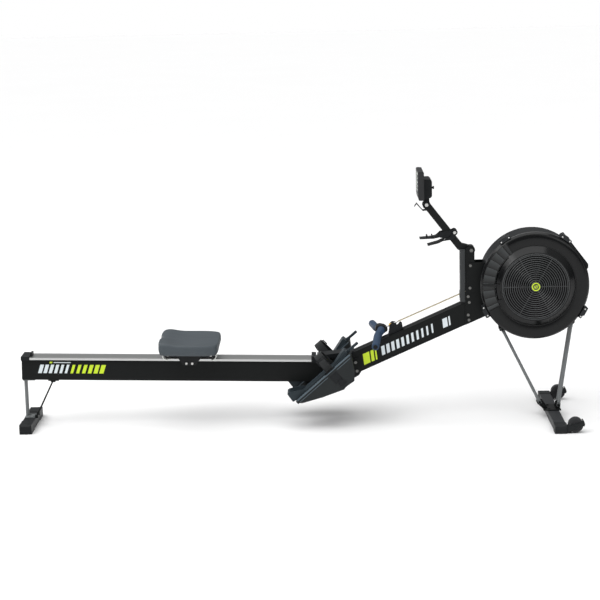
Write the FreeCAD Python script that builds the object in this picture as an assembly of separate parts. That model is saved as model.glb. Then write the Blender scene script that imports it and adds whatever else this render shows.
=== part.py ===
import FreeCAD, Part
import math
import os

# Rowing machine with an air-braked flywheel, in millimetres.
# +X runs along the machine from the rear foot to the fan, +Y across it and +Z up.
# The origin is on the floor, at the middle of the machine's footprint.

V = FreeCAD.Vector
PARTS_FOLDER = "parts"
RUNNING_GAP = 0.3

# Overall size
LEFT_END = -1222.0
RIGHT_END = 1222.0

# Monorail: the seat rolls on it. Its own frame has s along the rail, h up from its top.
RAIL_TILT = 1.49
RAIL_START = V(-1216.0, 0.0, 311.9)
RAIL_LENGTH = 1370.0
RAIL_HALF_WIDTH = 33.0
RAIL_DEPTH = 100.0
RAIL_WALL = 3.0
FLANGE_HALF_WIDTH = 43.0
FLANGE_TOP = -2.5
FLANGE_BOTTOM = -8.0
TRACK_HALF_WIDTH = 46.0
TRACK_FIRST = 6.0
TRACK_LAST = 1252.0
LIP_DEPTH = 9.0

# Rear leg and foot
REAR_FOOT_WIDTH = 52.7
REAR_FOOT_HEIGHT = 40.0
REAR_FOOT_HALF = 162.0
REAR_CAP_LENGTH = 85.0
BRACE_RADIUS = 3.0

# Main beam, which rises from the rail's end to the mast
BEAM_ANGLE = 23.6
BEAM_DEPTH = 90.0
BEAM_HALF_WIDTH = 33.0
BEAM_WALL = 3.5
BEAM_FIRST = 165.0
BEAM_LAST = 738.0
BEAM_LOW_POINT = (223.6, 209.8)

# Mast
NOSE_FRONT = 680.0
NOSE_BACK = 700.0
NOSE_TOP = 740.0
MAST_BACK = 740.0
MAST_TOP = 756.0
MAST_INNER = 34.0
MAST_OUTER = 38.0
MAST_BOLTS = [(721.6, 677.0), (719.5, 580.0), (717.0, 517.0), (715.5, 440.0)]
MAST_BOLT_RADIUS = 4.0
ARM_SLOT_BOTTOM = 652.0

# Flywheel and its drum, all round an axle along Y
HUB = V(991.5, 0.0, 594.6)
DRUM_RADIUS = 226.0
DRUM_WALL = 3.5
DRUM_FRONT = -80.0
DRUM_BACK = 92.0
LID_RADIUS = 229.5
LID_FACE = -100.0
CONE_FOOT = 171.0
CONE_TOP = 147.0
GRILLE_FACE = -122.0
GRILLE_RADIUS = 145.0
DAMPER_FACE = -115.0
DAMPER_RADIUS = 139.0
LEVER_ANGLE = 178.0
SCALE_FIRST = 129.0
SCALE_LAST = 203.0
FAN_RADIUS = 205.0
FAN_BLADES = 24
AXLE_RADIUS = 8.0
BEARING_RADIUS = 17.5
SPROCKET_PITCH_RADIUS = 28.3
SPROCKET_TEETH = 14
CLAMP_ANGLES = [57.0, 123.0, 207.6, 329.5]

# Chain line
CHAIN_EXIT = V(680.1, 0.0, 546.2)
CHAIN_START = V(413.5, 0.0, 432.8)
CHAIN_HEIGHT = 6.0
CHAIN_WIDTH = 5.0
IDLER_RADIUS = 14.0
UPPER_IDLER = V(712.0, 0.0, 542.3)
LOWER_IDLER = V(712.0, 0.0, 462.0)
TAKEUP_X = 262.0
TAKEUP_RISE = 50.0
CORD_RISE = 40.0
TAKEUP_RADIUS = 12.0

# Handle, parked on its rest
SWIVEL_PIN = V(350.0, 0.0, 405.8)
HANDLE_CENTRE = V(338.0, 0.0, 401.5)
HANDLE_BACK = V(-0.75, 0.0, -0.66)
GRIP_RADIUS = 16.0
HANDLE_HALF = 240.0

# Footboards: a runs up the board from its tip, n stands out of its face
BOARD_TIP = V(-32.0, 0.0, 127.5)
BOARD_ANGLE = 40.9
BOARD_LENGTH = 312.0
BOARD_INNER = 60.0
BOARD_OUTER = 178.0
FOOT_CENTRE = 116.0
STRAP_FIRST = 178.0
STRAP_LAST = 216.0
STRAP_RISE = 80.0
FRONT_CROSSBAR = (200.0, 226.0)
REAR_CROSSBAR = (20.0, 150.0)
CROSSBAR_RADIUS = 8.0

# Lever that clamps the rail in its socket
LATCH_PIN = (60.0, 158.0)
LATCH_CAM_RADIUS = 14.0

# Front legs and foot
FRONT_FOOT_FIRST = 1052.6
FRONT_FOOT_WIDTH = 51.6
FRONT_FOOT_HEIGHT = 36.0
FRONT_FOOT_HALF = 305.0
FRONT_CAP_LENGTH = 57.0
LEG_RADIUS = 6.5
LEG_WALL = 1.6
LEG_SPREAD = 21.0
LEFT_LEG_TOP = (860.6, 392.6)
LEFT_LEG_FOOT = (1022.0, 66.0)
RIGHT_LEG_TOP = (1157.4, 419.0)
RIGHT_LEG_FOOT = (1103.0, 53.0)
CASTER = V(1140.4, 0.0, 35.0)
CASTER_RADIUS = 31.0
CASTER_HALF = 14.0
CASTER_Y = 283.0

# Monitor arm, device holder and monitor
ARM_PIVOT = (726.5, 742.0)
ARM_ELBOW = (679.0, 756.0)
ARM_END = (538.8, 938.0)
ARM_WIDTH = 30.0
ARM_HALF = 16.0
HOLDER_PIVOT = (656.5, 818.6)
MONITOR_HALF = 88.0
BUTTON_COUNT = 5

# Seat, with s measured from its own middle
SEAT_CENTRE = 726.0
SEAT_HALF_LENGTH = 131.0
SEAT_HALF_WIDTH = 160.0
SEAT_BOTTOM = 46.0
SEAT_TOP = 88.0
SEAT_SKIRT = 24.0
SEAT_SKIRT_INNER = 72.0
ROLLER_OFFSET = 93.0
TOP_ROLLER_RADIUS = 19.0
LOW_ROLLER_RADIUS = 10.5
LOW_ROLLER_OFFSET = 12.5


# ---------------------------------------------------------------- helpers

def box(x0, x1, y0, y1, z0, z1):
    """A block between two corners."""
    return Part.makeBox(x1 - x0, y1 - y0, z1 - z0, V(x0, y0, z0))


def rod(start, end, radius):
    """A round bar between two points."""
    return Part.makeCylinder(radius, (end - start).Length, start, end - start)


def pipe(start, end, radius, wall):
    """A round tube between two points."""
    return rod(start, end, radius).cut(rod(start, end, radius - wall))


def pin_y(x, z, radius, y0, y1):
    """A round bar along Y."""
    return Part.makeCylinder(radius, y1 - y0, V(x, y0, z), V(0, 1, 0))


def ring_y(x, z, outer, inner, y0, y1):
    """A ring round an axis along Y."""
    return pin_y(x, z, outer, y0, y1).cut(pin_y(x, z, inner, y0 - 1, y1 + 1))


def corner_arc(before, corner, after, radius):
    """The ends and middle of the arc that rounds a corner of an outline."""
    first = (before - corner).normalize()
    last = (after - corner).normalize()
    half = first.getAngle(last) / 2
    reach = radius / math.tan(half)
    bisector = (first + last).normalize()
    centre = corner + bisector * (radius / math.sin(half))
    return corner + first * reach, centre - bisector * radius, corner + last * reach


def outline(points, radius):
    """A closed wire through points, with every corner rounded where radius isn't 0."""
    count = len(points)
    radii = radius if isinstance(radius, list) else [radius] * count
    edges = []
    ends = []
    for i, corner in enumerate(points):
        if radii[i] > 0:
            arc = corner_arc(points[i - 1], corner, points[(i + 1) % count], radii[i])
            edges.append(Part.Arc(*arc).toShape())
            ends.append((arc[0], arc[2]))
        else:
            edges.append(None)
            ends.append((corner, corner))
    closed = []
    for i in range(count):
        if edges[i] is not None:
            closed.append(edges[i])
        start, end = ends[i][1], ends[(i + 1) % count][0]
        if (end - start).Length > 1e-6:
            closed.append(Part.LineSegment(start, end).toShape())
    return Part.Wire(closed)


def plate(points, y0, y1, radius=0):
    """A plate with an outline of (x, z) points, between two values of Y."""
    wire = outline([V(x, y0, z) for x, z in points], radius)
    return Part.Face(wire).extrude(V(0, y1 - y0, 0))


def both_sides(shape):
    """The shape and its mirror image across the machine's middle plane."""
    return [shape, shape.mirror(V(0, 0, 0), V(0, 1, 0))]


def mirrored(shape):
    """The shape's mirror image across the machine's middle plane."""
    return shape.mirror(V(0, 0, 0), V(0, 1, 0))


def group(shapes):
    """Several separate solids as one node."""
    return Part.makeCompound([solid for shape in shapes for solid in shape.Solids])


def fused(shapes):
    """One solid made of several that touch."""
    whole = shapes[0]
    for shape in shapes[1:]:
        whole = whole.fuse(shape)
    return whole.removeSplitter()


def on_rail(shape):
    """Moves a shape from the rail's own frame to the machine's."""
    placed = shape.copy()
    placed.rotate(V(0, 0, 0), V(0, 1, 0), RAIL_TILT)
    placed.translate(RAIL_START)
    return placed


def rail_top(x):
    """Height of the rail's top plane at x."""
    return RAIL_START.z - (x - RAIL_START.x) * math.tan(math.radians(RAIL_TILT))


def beam_bottom(x):
    """Height of the main beam's lower face at x."""
    x0, z0 = BEAM_LOW_POINT
    return z0 + (x - x0) * math.tan(math.radians(BEAM_ANGLE))


def beam_top(x):
    """Height of the main beam's upper face at x."""
    return beam_bottom(x) + BEAM_DEPTH / math.cos(math.radians(BEAM_ANGLE))


def on_board(a, n):
    """The (x, z) of a point a along the footboard and n out of its face."""
    angle = math.radians(BOARD_ANGLE)
    x = BOARD_TIP.x + a * math.cos(angle) - n * math.sin(angle)
    z = BOARD_TIP.z + a * math.sin(angle) + n * math.cos(angle)
    return x, z


def board_plate(a0, a1, n0, n1, y0, y1):
    """A block square to the footboard."""
    corners = [on_board(a0, n0), on_board(a1, n0), on_board(a1, n1), on_board(a0, n1)]
    return plate(corners, y0, y1)


def round_hub(angle, radius, y=0.0):
    """A point round the flywheel's axle, at an angle above +X seen from -Y."""
    turn = math.radians(angle)
    return V(HUB.x + radius * math.cos(turn), y, HUB.z + radius * math.sin(turn))


def revolved(profile):
    """Turns a closed profile of (radius, y) points round the flywheel's axle."""
    wire = Part.makePolygon([V(HUB.x + r, y, HUB.z) for r, y in profile + profile[:1]])
    return Part.Face(wire).revolve(HUB, V(0, 1, 0), 360)


def sector(r0, r1, y0, y1, first, last):
    """A ring segment round the flywheel's axle, from one angle to another."""
    wire = Part.makePolygon([V(HUB.x + r, y, HUB.z) for r, y in
                             [(r0, y0), (r1, y0), (r1, y1), (r0, y1), (r0, y0)]])
    segment = Part.Face(wire).revolve(HUB, V(0, 1, 0), first - last)
    segment.rotate(HUB, V(0, 1, 0), -first)
    return segment


def bolt_head(x, z, y, radius, thickness, side):
    """A hexagon head on a face at y, on the side that side says."""
    corners = []
    for i in range(6):
        turn = math.radians(60 * i)
        corners.append((x + radius * math.cos(turn), z + radius * math.sin(turn)))
    return plate(corners, min(y, y + side * thickness), max(y, y + side * thickness))


def through_bolt(x, z, radius, half, head):
    """A bolt along Y with a head at each end, the heads resting at plus and minus half."""
    shank = pin_y(x, z, radius, -half, half)
    return fused([shank, bolt_head(x, z, -half, head, 4, -1), bolt_head(x, z, half, head, 4, 1)])


# ---------------------------------------------------------------- monorail

def rail_parts():
    """The monorail, its track and what is fixed to its ends, in the rail's frame."""
    body = box(0, RAIL_LENGTH, -RAIL_HALF_WIDTH, RAIL_HALF_WIDTH, -RAIL_DEPTH, FLANGE_BOTTOM)
    flange = box(0, RAIL_LENGTH, -FLANGE_HALF_WIDTH, FLANGE_HALF_WIDTH, FLANGE_BOTTOM, FLANGE_TOP)
    inner = RAIL_HALF_WIDTH - RAIL_WALL
    hollow = box(-1, RAIL_LENGTH + 1, -inner, inner, RAIL_WALL - RAIL_DEPTH, FLANGE_BOTTOM - RAIL_WALL)
    beam = body.fuse(flange).cut(hollow).removeSplitter()

    sheet = box(TRACK_FIRST, TRACK_LAST, -TRACK_HALF_WIDTH, TRACK_HALF_WIDTH, FLANGE_TOP, 0)
    lips = both_sides(box(TRACK_FIRST, TRACK_LAST, FLANGE_HALF_WIDTH + 0.2, TRACK_HALF_WIDTH,
                          -LIP_DEPTH, FLANGE_TOP))
    track = fused([sheet] + lips)

    stop = box(TRACK_LAST + 0.5, TRACK_LAST + 20, -48, 48, FLANGE_TOP, 14)
    skirts = both_sides(box(TRACK_LAST + 0.5, TRACK_LAST + 20, FLANGE_HALF_WIDTH, 48, -12, FLANGE_TOP))
    front_stop = fused([stop] + skirts)

    cap = box(-3, 34, -49, 49, 0, 5.5)
    end_wall = box(-3, 0, -49, 49, -12, 0)
    cap_skirts = both_sides(box(-3, 34, TRACK_HALF_WIDTH, 49, -12, 0))
    end_cap = fused([cap, end_wall] + cap_skirts)
    end_cap = end_cap.makeFillet(1.8, [e for e in end_cap.Edges if e.BoundBox.ZMin > 5.4])

    plug = fused([box(-2.5, 0, -inner - 2, inner + 2, -99, -13),
                  box(0, 12, -inner + 0.2, inner - 0.2, -96, -12)])
    bumper = box(34, 42, -22, 22, 0, 16)
    return {
        "rail_beam": on_rail(beam),
        "rail_track": on_rail(track),
        "rail_end_cap": on_rail(group([end_cap, plug])),
        "seat_stops": on_rail(group([front_stop, bumper])),
    }


def floor_foot(x0, width, height, half, cap_length):
    """A hollow foot bar across the machine, with its tread and its two end caps."""
    tread = 3.0
    wall = 3.0
    inside = 1.5
    bar = box(x0 + 1, x0 + width - 1, -half + inside, half - inside, 4, height - tread)
    bar = bar.cut(box(x0 + 1 + wall, x0 + width - 1 - wall, -half, half, 4 + wall, height - tread - wall))
    cap_inner = half - cap_length
    top = box(x0 + 2, x0 + width - 2, -cap_inner, cap_inner, height - tread, height - 1)
    shell = box(x0, x0 + width, cap_inner, half, 0, height)
    top_edges = [e for e in shell.Edges if e.BoundBox.YMin > half - 0.1]
    shell = shell.makeChamfer(5.0, top_edges)
    cap = shell.cut(box(x0 + 1, x0 + width - 1, cap_inner - 1, half - inside, 4, height - tread))
    return group([bar, top] + both_sides(cap))


def rear_stand():
    """The upright, braces, foot and brackets that hold the rail's rear end up."""
    rear_foot = floor_foot(LEFT_END, REAR_FOOT_WIDTH, REAR_FOOT_HEIGHT, REAR_FOOT_HALF, REAR_CAP_LENGTH)
    top = rail_top(-1165) - RAIL_DEPTH - 0.1
    foot_top = REAR_FOOT_HEIGHT - 1
    upright = rounded_upright(-1209.5, 6.5, 15.0, foot_top + 4, top - 4)
    flanges = [box(-1219, -1165, -28, 28, top - 4, top), box(-1219, -1174, -28, 28, foot_top, foot_top + 4)]
    leg = fused([upright] + flanges)
    high = V(-1091.0, 0, 198.5)
    low = V(-1166.0, 0, 48.0)
    clevis_top = rail_top(-1085) - RAIL_DEPTH - 1.2
    bracket = fused([
        box(-1108, -1062, -30, 30, clevis_top - 4, clevis_top),
        plate([(-1106, clevis_top - 4), (-1072, clevis_top - 4), (-1083, 191), (-1099, 191)], -5, 5, 0),
    ])
    rods = []
    for side in (-1, 1):
        start = V(low.x, side * 26, low.z)
        end = V(high.x, side * 9, high.z)
        rods.append(rod(start, end, BRACE_RADIUS))
    braces = group(rods)
    pins = fused([pin_y(high.x, high.z, 3.0, -14, 14)])
    bracket = bracket.cut(pins)
    braces = group([shape.cut(pins) for shape in rods])
    anchors = []
    for side in (-1, 1):
        lug = box(low.x - 7, low.x + 6, side * 26 - 6, side * 26 + 6, foot_top, 52)
        anchors.append(lug.cut(rods[0]).cut(rods[1]))
    screws = []
    for x in (-1200.0, -1180.0):
        for y in (-20.0, 20.0):
            screws.append(Part.makeCylinder(4, 3, V(x, y, foot_top + 4)))
    return {
        "rear_leg": group([leg] + screws),
        "rear_foot": rear_foot,
        "rear_brace": group([braces, pins, bracket] + anchors),
    }


def rounded_upright(x, half_x, half_y, z0, z1):
    """A tube with rounded sides that stands upright."""
    shapes = []
    for shrink in (0.0, 2.0):
        width = half_x - shrink
        depth = half_y - half_x
        ends = [Part.makeCylinder(width, z1 - z0, V(x, side * depth, z0)) for side in (-1, 1)]
        shapes.append(fused([box(x - width, x + width, -depth, depth, z0, z1)] + ends))
    return shapes[0].cut(shapes[1])


# ---------------------------------------------------------------- seat

def seat_parts():
    """The seat, its carriage and rollers, in the rail's frame."""
    middle = SEAT_CENTRE
    axle_h = TOP_ROLLER_RADIUS + RUNNING_GAP
    low_h = FLANGE_BOTTOM - RUNNING_GAP - LOW_ROLLER_RADIUS
    half = SEAT_HALF_LENGTH
    shape = [(middle - half, SEAT_BOTTOM + 6), (middle - half + 8, SEAT_BOTTOM),
             (middle + half - 10, SEAT_BOTTOM), (middle + half, SEAT_BOTTOM + 20),
             (middle + half - 12, SEAT_TOP - 4), (middle + 30, SEAT_TOP - 7),
             (middle - 20, SEAT_TOP - 7), (middle - half + 20, SEAT_TOP + 2),
             (middle - half + 4, SEAT_TOP)]
    pad = plate(shape, -SEAT_HALF_WIDTH, SEAT_HALF_WIDTH, [4, 4, 6, 10, 12, 20, 20, 10, 6])
    skirt_shape = [(middle - half + 4, SEAT_SKIRT + 6), (middle - half + 14, SEAT_SKIRT),
                   (middle + half - 18, SEAT_SKIRT), (middle + half - 2, SEAT_BOTTOM + 12),
                   (middle + half - 12, SEAT_TOP - 16), (middle - half + 6, SEAT_TOP - 16)]
    skirt = plate(skirt_shape, SEAT_SKIRT_INNER, SEAT_HALF_WIDTH, [6, 8, 10, 6, 6, 6])
    pad = fused([pad] + both_sides(skirt))
    pan = box(middle - 104, middle + 104, -70, 70, 42.2, SEAT_BOTTOM)
    side_shape = [(-106, 42), (106, 42), (106, 24), (97, 9), (52, 9), (27, -27), (-27, -27),
                  (-52, 9), (-97, 9), (-106, 24)]
    side = plate([(middle + s, h) for s, h in side_shape], 49, 52, [2, 2, 6, 8, 8, 7, 7, 8, 8, 6])
    bridge = box(middle - 106, middle + 106, -52, 52, 39, 42)
    carriage = fused([bridge] + both_sides(side))
    bores = []
    for s in (-ROLLER_OFFSET, ROLLER_OFFSET):
        bores.append(pin_y(middle + s, axle_h, 4.0, -60, 60))
    for s in (-LOW_ROLLER_OFFSET, LOW_ROLLER_OFFSET):
        bores.append(pin_y(middle + s, low_h, 3.0, -60, 60))
    for bore in bores:
        carriage = carriage.cut(bore)
    axles = []
    for s in (-ROLLER_OFFSET, ROLLER_OFFSET):
        axles.append(fused([pin_y(middle + s, axle_h, 4.0, -52, 52),
                            bolt_head(middle + s, axle_h, -52, 6.5, 3, -1),
                            bolt_head(middle + s, axle_h, 52, 6.5, 3, 1)]))
    studs = []
    for s in (-LOW_ROLLER_OFFSET, LOW_ROLLER_OFFSET):
        stud = fused([pin_y(middle + s, low_h, 3.0, 34.0, 52), bolt_head(middle + s, low_h, 52, 5.5, 3.5, 1)])
        studs += both_sides(stud)
    guards = []
    for s, first, last in ((-ROLLER_OFFSET, 180, 268), (ROLLER_OFFSET, 272, 360)):
        guard = ring_y(middle + s, axle_h, 25.0, 22.0, 52.2, 58)
        wedge = wedge_between(middle + s, axle_h, first, last)
        tab = box(middle + s - (26 if s < 0 else -14), middle + s - (14 if s < 0 else -26), 52.2, 55, 18, 30)
        guards += both_sides(fused([guard.common(wedge), tab]))
    parts = {
        "seat_pad": pad,
        "seat_carriage": group([pan, carriage] + axles + studs + guards),
    }
    for name, s in (("seat_rear_top_rollers", -ROLLER_OFFSET), ("seat_front_top_rollers", ROLLER_OFFSET)):
        wheel = ring_y(middle + s, axle_h, TOP_ROLLER_RADIUS, 4.05, 22, 42)
        groove = ring_y(middle + s, axle_h, 15.0, 9.0, 39, 43)
        parts[name] = group(both_sides(wheel.cut(groove)))
    for name, s in (("seat_rear_lower_rollers", -LOW_ROLLER_OFFSET),
                    ("seat_front_lower_rollers", LOW_ROLLER_OFFSET)):
        wheel = ring_y(middle + s, low_h, LOW_ROLLER_RADIUS, 3.05, 34.5, 42.5)
        parts[name] = group(both_sides(wheel))
    return {name: on_rail(shape) for name, shape in parts.items()}


def wedge_between(x, z, first, last):
    """A large wedge of a circle, to keep part of a ring along Y."""
    reach = 60.0
    steps = 4
    corners = [(x, z)]
    for i in range(steps + 1):
        turn = math.radians(first + (last - first) * i / steps)
        corners.append((x + reach * math.cos(turn), z + reach * math.sin(turn)))
    return plate(corners, 40, 70)


# ---------------------------------------------------------------- main beam and mast

def beam_parts():
    """The sloping main beam, the socket for the rail and the cover over the joint."""
    shell = [(BEAM_FIRST, beam_bottom(BEAM_FIRST)), (BEAM_LAST, beam_bottom(BEAM_LAST)),
             (BEAM_LAST, beam_top(BEAM_LAST)), (BEAM_FIRST, beam_top(BEAM_FIRST))]
    beam = plate(shell, -BEAM_HALF_WIDTH, BEAM_HALF_WIDTH)
    wall = BEAM_WALL / math.cos(math.radians(BEAM_ANGLE))
    cavity = [(BEAM_FIRST - 1, beam_bottom(BEAM_FIRST - 1) + wall),
              (BEAM_LAST + 1, beam_bottom(BEAM_LAST + 1) + wall),
              (BEAM_LAST + 1, beam_top(BEAM_LAST + 1) - wall),
              (BEAM_FIRST - 1, beam_top(BEAM_FIRST - 1) - wall)]
    beam = beam.cut(plate(cavity, BEAM_WALL - BEAM_HALF_WIDTH, BEAM_HALF_WIDTH - BEAM_WALL))
    beam = beam.cut(box(702, BEAM_LAST + 1, -BEAM_HALF_WIDTH + 8, BEAM_HALF_WIDTH - 8, 480, 560))
    crossbar = pin_y(*FRONT_CROSSBAR, CROSSBAR_RADIUS, -60, 60)
    crossbars = []
    for x, z in (FRONT_CROSSBAR, REAR_CROSSBAR):
        crossbars.append(pipe(V(x, -BOARD_OUTER + 3.2, z), V(x, BOARD_OUTER - 3.2, z), CROSSBAR_RADIUS, 2.0))
    beam = beam.cut(crossbar)
    for x, z in MAST_BOLTS[2:] + [(LOWER_IDLER.x, LOWER_IDLER.z)]:
        beam = beam.cut(pin_y(x, z, MAST_BOLT_RADIUS, -60, 60))

    low = [(6, 142), (34, 140), (175, rail_top(175) - RAIL_DEPTH - 10), (240, 205), (250, 222),
           (244, 285), (178, 262), (168, rail_top(168) - 14), (96, rail_top(96) - 14), (88, 178),
           (40, 168), (8, 168)]
    cheek = plate(low, RAIL_HALF_WIDTH + 0.4, RAIL_HALF_WIDTH + 4, [6, 6, 8, 8, 8, 8, 6, 6, 6, 8, 4, 6])
    floor_left = rail_top(92) - RAIL_DEPTH - 0.8
    floor_right = rail_top(150) - RAIL_DEPTH - 0.8
    floor = plate([(92, floor_left - 4), (162, floor_right - 4.3), (162, floor_right - 0.3),
                   (92, floor_left)], -RAIL_HALF_WIDTH - 0.4, RAIL_HALF_WIDTH + 0.4)
    tie = plate([(92, floor_left - 18), (104, floor_left - 18), (104, floor_left - 4), (92, floor_left - 4)],
                -RAIL_HALF_WIDTH - 0.4, RAIL_HALF_WIDTH + 0.4)
    socket = fused([floor, tie] + both_sides(cheek)).cut(crossbar)
    socket = socket.cut(pin_y(*REAR_CROSSBAR, CROSSBAR_RADIUS, -60, 60))
    socket = socket.cut(pin_y(*LATCH_PIN, 4.0, -60, 60))
    socket_bolts = [(226.0, 262.0), (232.0, 224.0)]
    for x, z in socket_bolts:
        hole = pin_y(x, z, 4.0, -60, 60)
        socket = socket.cut(hole)
        beam = beam.cut(hole)
    bolts = [through_bolt(x, z, 4.0, RAIL_HALF_WIDTH + 4, 7.0) for x, z in socket_bolts]

    rise = 1.2
    cover = plate([(61, 281.5), (160, 281.5), (BEAM_FIRST + 4, beam_top(BEAM_FIRST + 4) + rise),
                   (222, beam_top(222) + rise), (216, beam_top(222) + 4), (61, 294)], -36, 36)
    plug_x = BEAM_FIRST + 9
    plug = plate([(BEAM_FIRST, beam_bottom(BEAM_FIRST) + wall + 0.3),
                  (plug_x, beam_bottom(plug_x) + wall + 0.3),
                  (plug_x, beam_top(plug_x) - wall - 0.3),
                  (BEAM_FIRST, beam_top(BEAM_FIRST) - wall - 0.3)], -29, 29)
    latch_pin = fused([pin_y(*LATCH_PIN, 4.0, -RAIL_HALF_WIDTH - 4, RAIL_HALF_WIDTH + 4),
                       bolt_head(*LATCH_PIN, -RAIL_HALF_WIDTH - 4, 6.5, 3, -1),
                       bolt_head(*LATCH_PIN, RAIL_HALF_WIDTH + 4, 6.5, 3, 1)])
    return {
        "main_beam": beam,
        "rail_socket": group([socket] + crossbars),
        "joint_cover": group([cover, plug]),
        "frame_bolts": group(bolts + [latch_pin] + mast_bolts()),
    }


def mast_bolts():
    """The bolts through the mast, its two idler axles, and the arm's pivot bolt with its washers."""
    bolts = []
    for i, (x, z) in enumerate(MAST_BOLTS):
        heads = MAST_OUTER + 3.2 if i < 2 else MAST_OUTER
        bolts.append(through_bolt(x, z, MAST_BOLT_RADIUS, heads, 6.5))
    for centre in (UPPER_IDLER, LOWER_IDLER):
        bolts.append(through_bolt(centre.x, centre.z, 4.0, MAST_OUTER, 6.5))
    bolts.append(through_bolt(*ARM_PIVOT, 5.0, MAST_OUTER, 8.0))
    for y0 in (-MAST_INNER - 0.1, MAST_INNER - 5.7):
        bolts.append(ring_y(*ARM_PIVOT, 11.0, 5.0, y0, y0 + 5.8))
    return bolts


def latch_parts():
    """The lever under the joint that clamps the rail in its socket."""
    x, z = LATCH_PIN
    cam = pin_y(x, z + 4, LATCH_CAM_RADIUS, -20, 20)
    lever = plate([(x, z - 10), (x + 6, z - 4), (x - 62, z - 24), (x - 78, z - 36), (x - 70, z - 41),
                   (x - 50, z - 31)], -14, 14, [0, 0, 4, 3, 3, 4])
    return {"frame_latch_lever": fused([cam, lever]).cut(pin_y(x, z, 4.05, -30, 30))}


def mast_parts():
    """The upright mast: a rounded nose, two side plates and their bolts."""
    half = 33.0
    nose_bottom = beam_top(NOSE_BACK) + 0.5
    section = [V(NOSE_FRONT, -half, nose_bottom), V(NOSE_FRONT, half, nose_bottom),
               V(NOSE_BACK, half, nose_bottom), V(NOSE_BACK, -half, nose_bottom)]
    inner = [V(NOSE_FRONT + 3, 3 - half, nose_bottom), V(NOSE_FRONT + 3, half - 3, nose_bottom),
             V(NOSE_BACK + 1, half - 3, nose_bottom), V(NOSE_BACK + 1, 3 - half, nose_bottom)]
    height = NOSE_TOP - nose_bottom
    nose = Part.Face(outline(section, [15, 15, 0, 0])).extrude(V(0, 0, height))
    nose = nose.cut(Part.Face(outline(inner, [12, 12, 0, 0])).extrude(V(0, 0, height)))
    port = box(NOSE_FRONT - 1, NOSE_BACK, -9, 9, 530, 564)
    arm_slot = box(NOSE_FRONT - 1, NOSE_BACK + 1, -ARM_HALF - 3, ARM_HALF + 3, ARM_SLOT_BOTTOM, NOSE_TOP + 20)
    nose = nose.cut(port).cut(arm_slot)
    cap = Part.Face(outline(section, [15, 15, 0, 0])).extrude(V(0, 0, 5))
    cap.translate(V(0, 0, height + 0.2))
    cap = cap.cut(arm_slot)

    side = [(NOSE_BACK + 0.3, beam_bottom(NOSE_BACK)), (800, beam_bottom(800)), (800, 556),
            (MAST_BACK, 574), (MAST_BACK, MAST_TOP), (NOSE_BACK + 2, MAST_TOP)]
    plates = plate(side, MAST_INNER + 0.2, MAST_OUTER, [2, 0, 0, 12, 13, 12])
    plates = plates.cut(pin_y(HUB.x, HUB.z, DRUM_RADIUS + 0.2, -60, 60))
    for x, z in MAST_BOLTS:
        plates = plates.cut(pin_y(x, z, MAST_BOLT_RADIUS, 0, 60))
    plates = plates.cut(pin_y(*ARM_PIVOT, 5.0, 0, 60))
    for idler in (UPPER_IDLER, LOWER_IDLER):
        plates = plates.cut(pin_y(idler.x, idler.z, 4.0, 0, 60))
    web = box(NOSE_BACK + 0.5, NOSE_BACK + 3.5, -MAST_INNER - 0.2, MAST_INNER + 0.2, 590, 645)
    spacer = box(MAST_BACK - 3, MAST_BACK, -MAST_INNER - 0.2, MAST_INNER + 0.2, 596, 700)

    saddle_half = MAST_OUTER + 3.2
    flange = plate([(708, 560), (790, 560), (790, 689), (708, 689)], MAST_OUTER + 0.2, saddle_half, [14, 0, 0, 5])
    drum = pin_y(HUB.x, HUB.z, DRUM_RADIUS + 0.2, -80, 80)
    saddle = sector(DRUM_RADIUS + 0.2, DRUM_RADIUS + 3.2, -saddle_half, saddle_half, 156, 186.5)
    bracket = fused([saddle] + both_sides(flange.cut(drum)))
    bracket = bracket.cut(box(750, 800, -13, 13, 500, 606))
    for x, z in MAST_BOLTS[:2]:
        bracket = bracket.cut(pin_y(x, z, MAST_BOLT_RADIUS, -60, 60))

    guide = box(NOSE_FRONT - 2, NOSE_FRONT + 14, -8.8, 8.8, 530.2, 563.8)
    guide = guide.cut(box(NOSE_FRONT - 3, NOSE_FRONT + 15, -4.5, 4.5, 536, 562))
    return {
        "mast_nose": group([nose, cap, guide]),
        "mast_side_plates": group(both_sides(plates) + [web, spacer]),
        "drum_saddle_bracket": bracket,
    }


# ---------------------------------------------------------------- flywheel and drum

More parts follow.
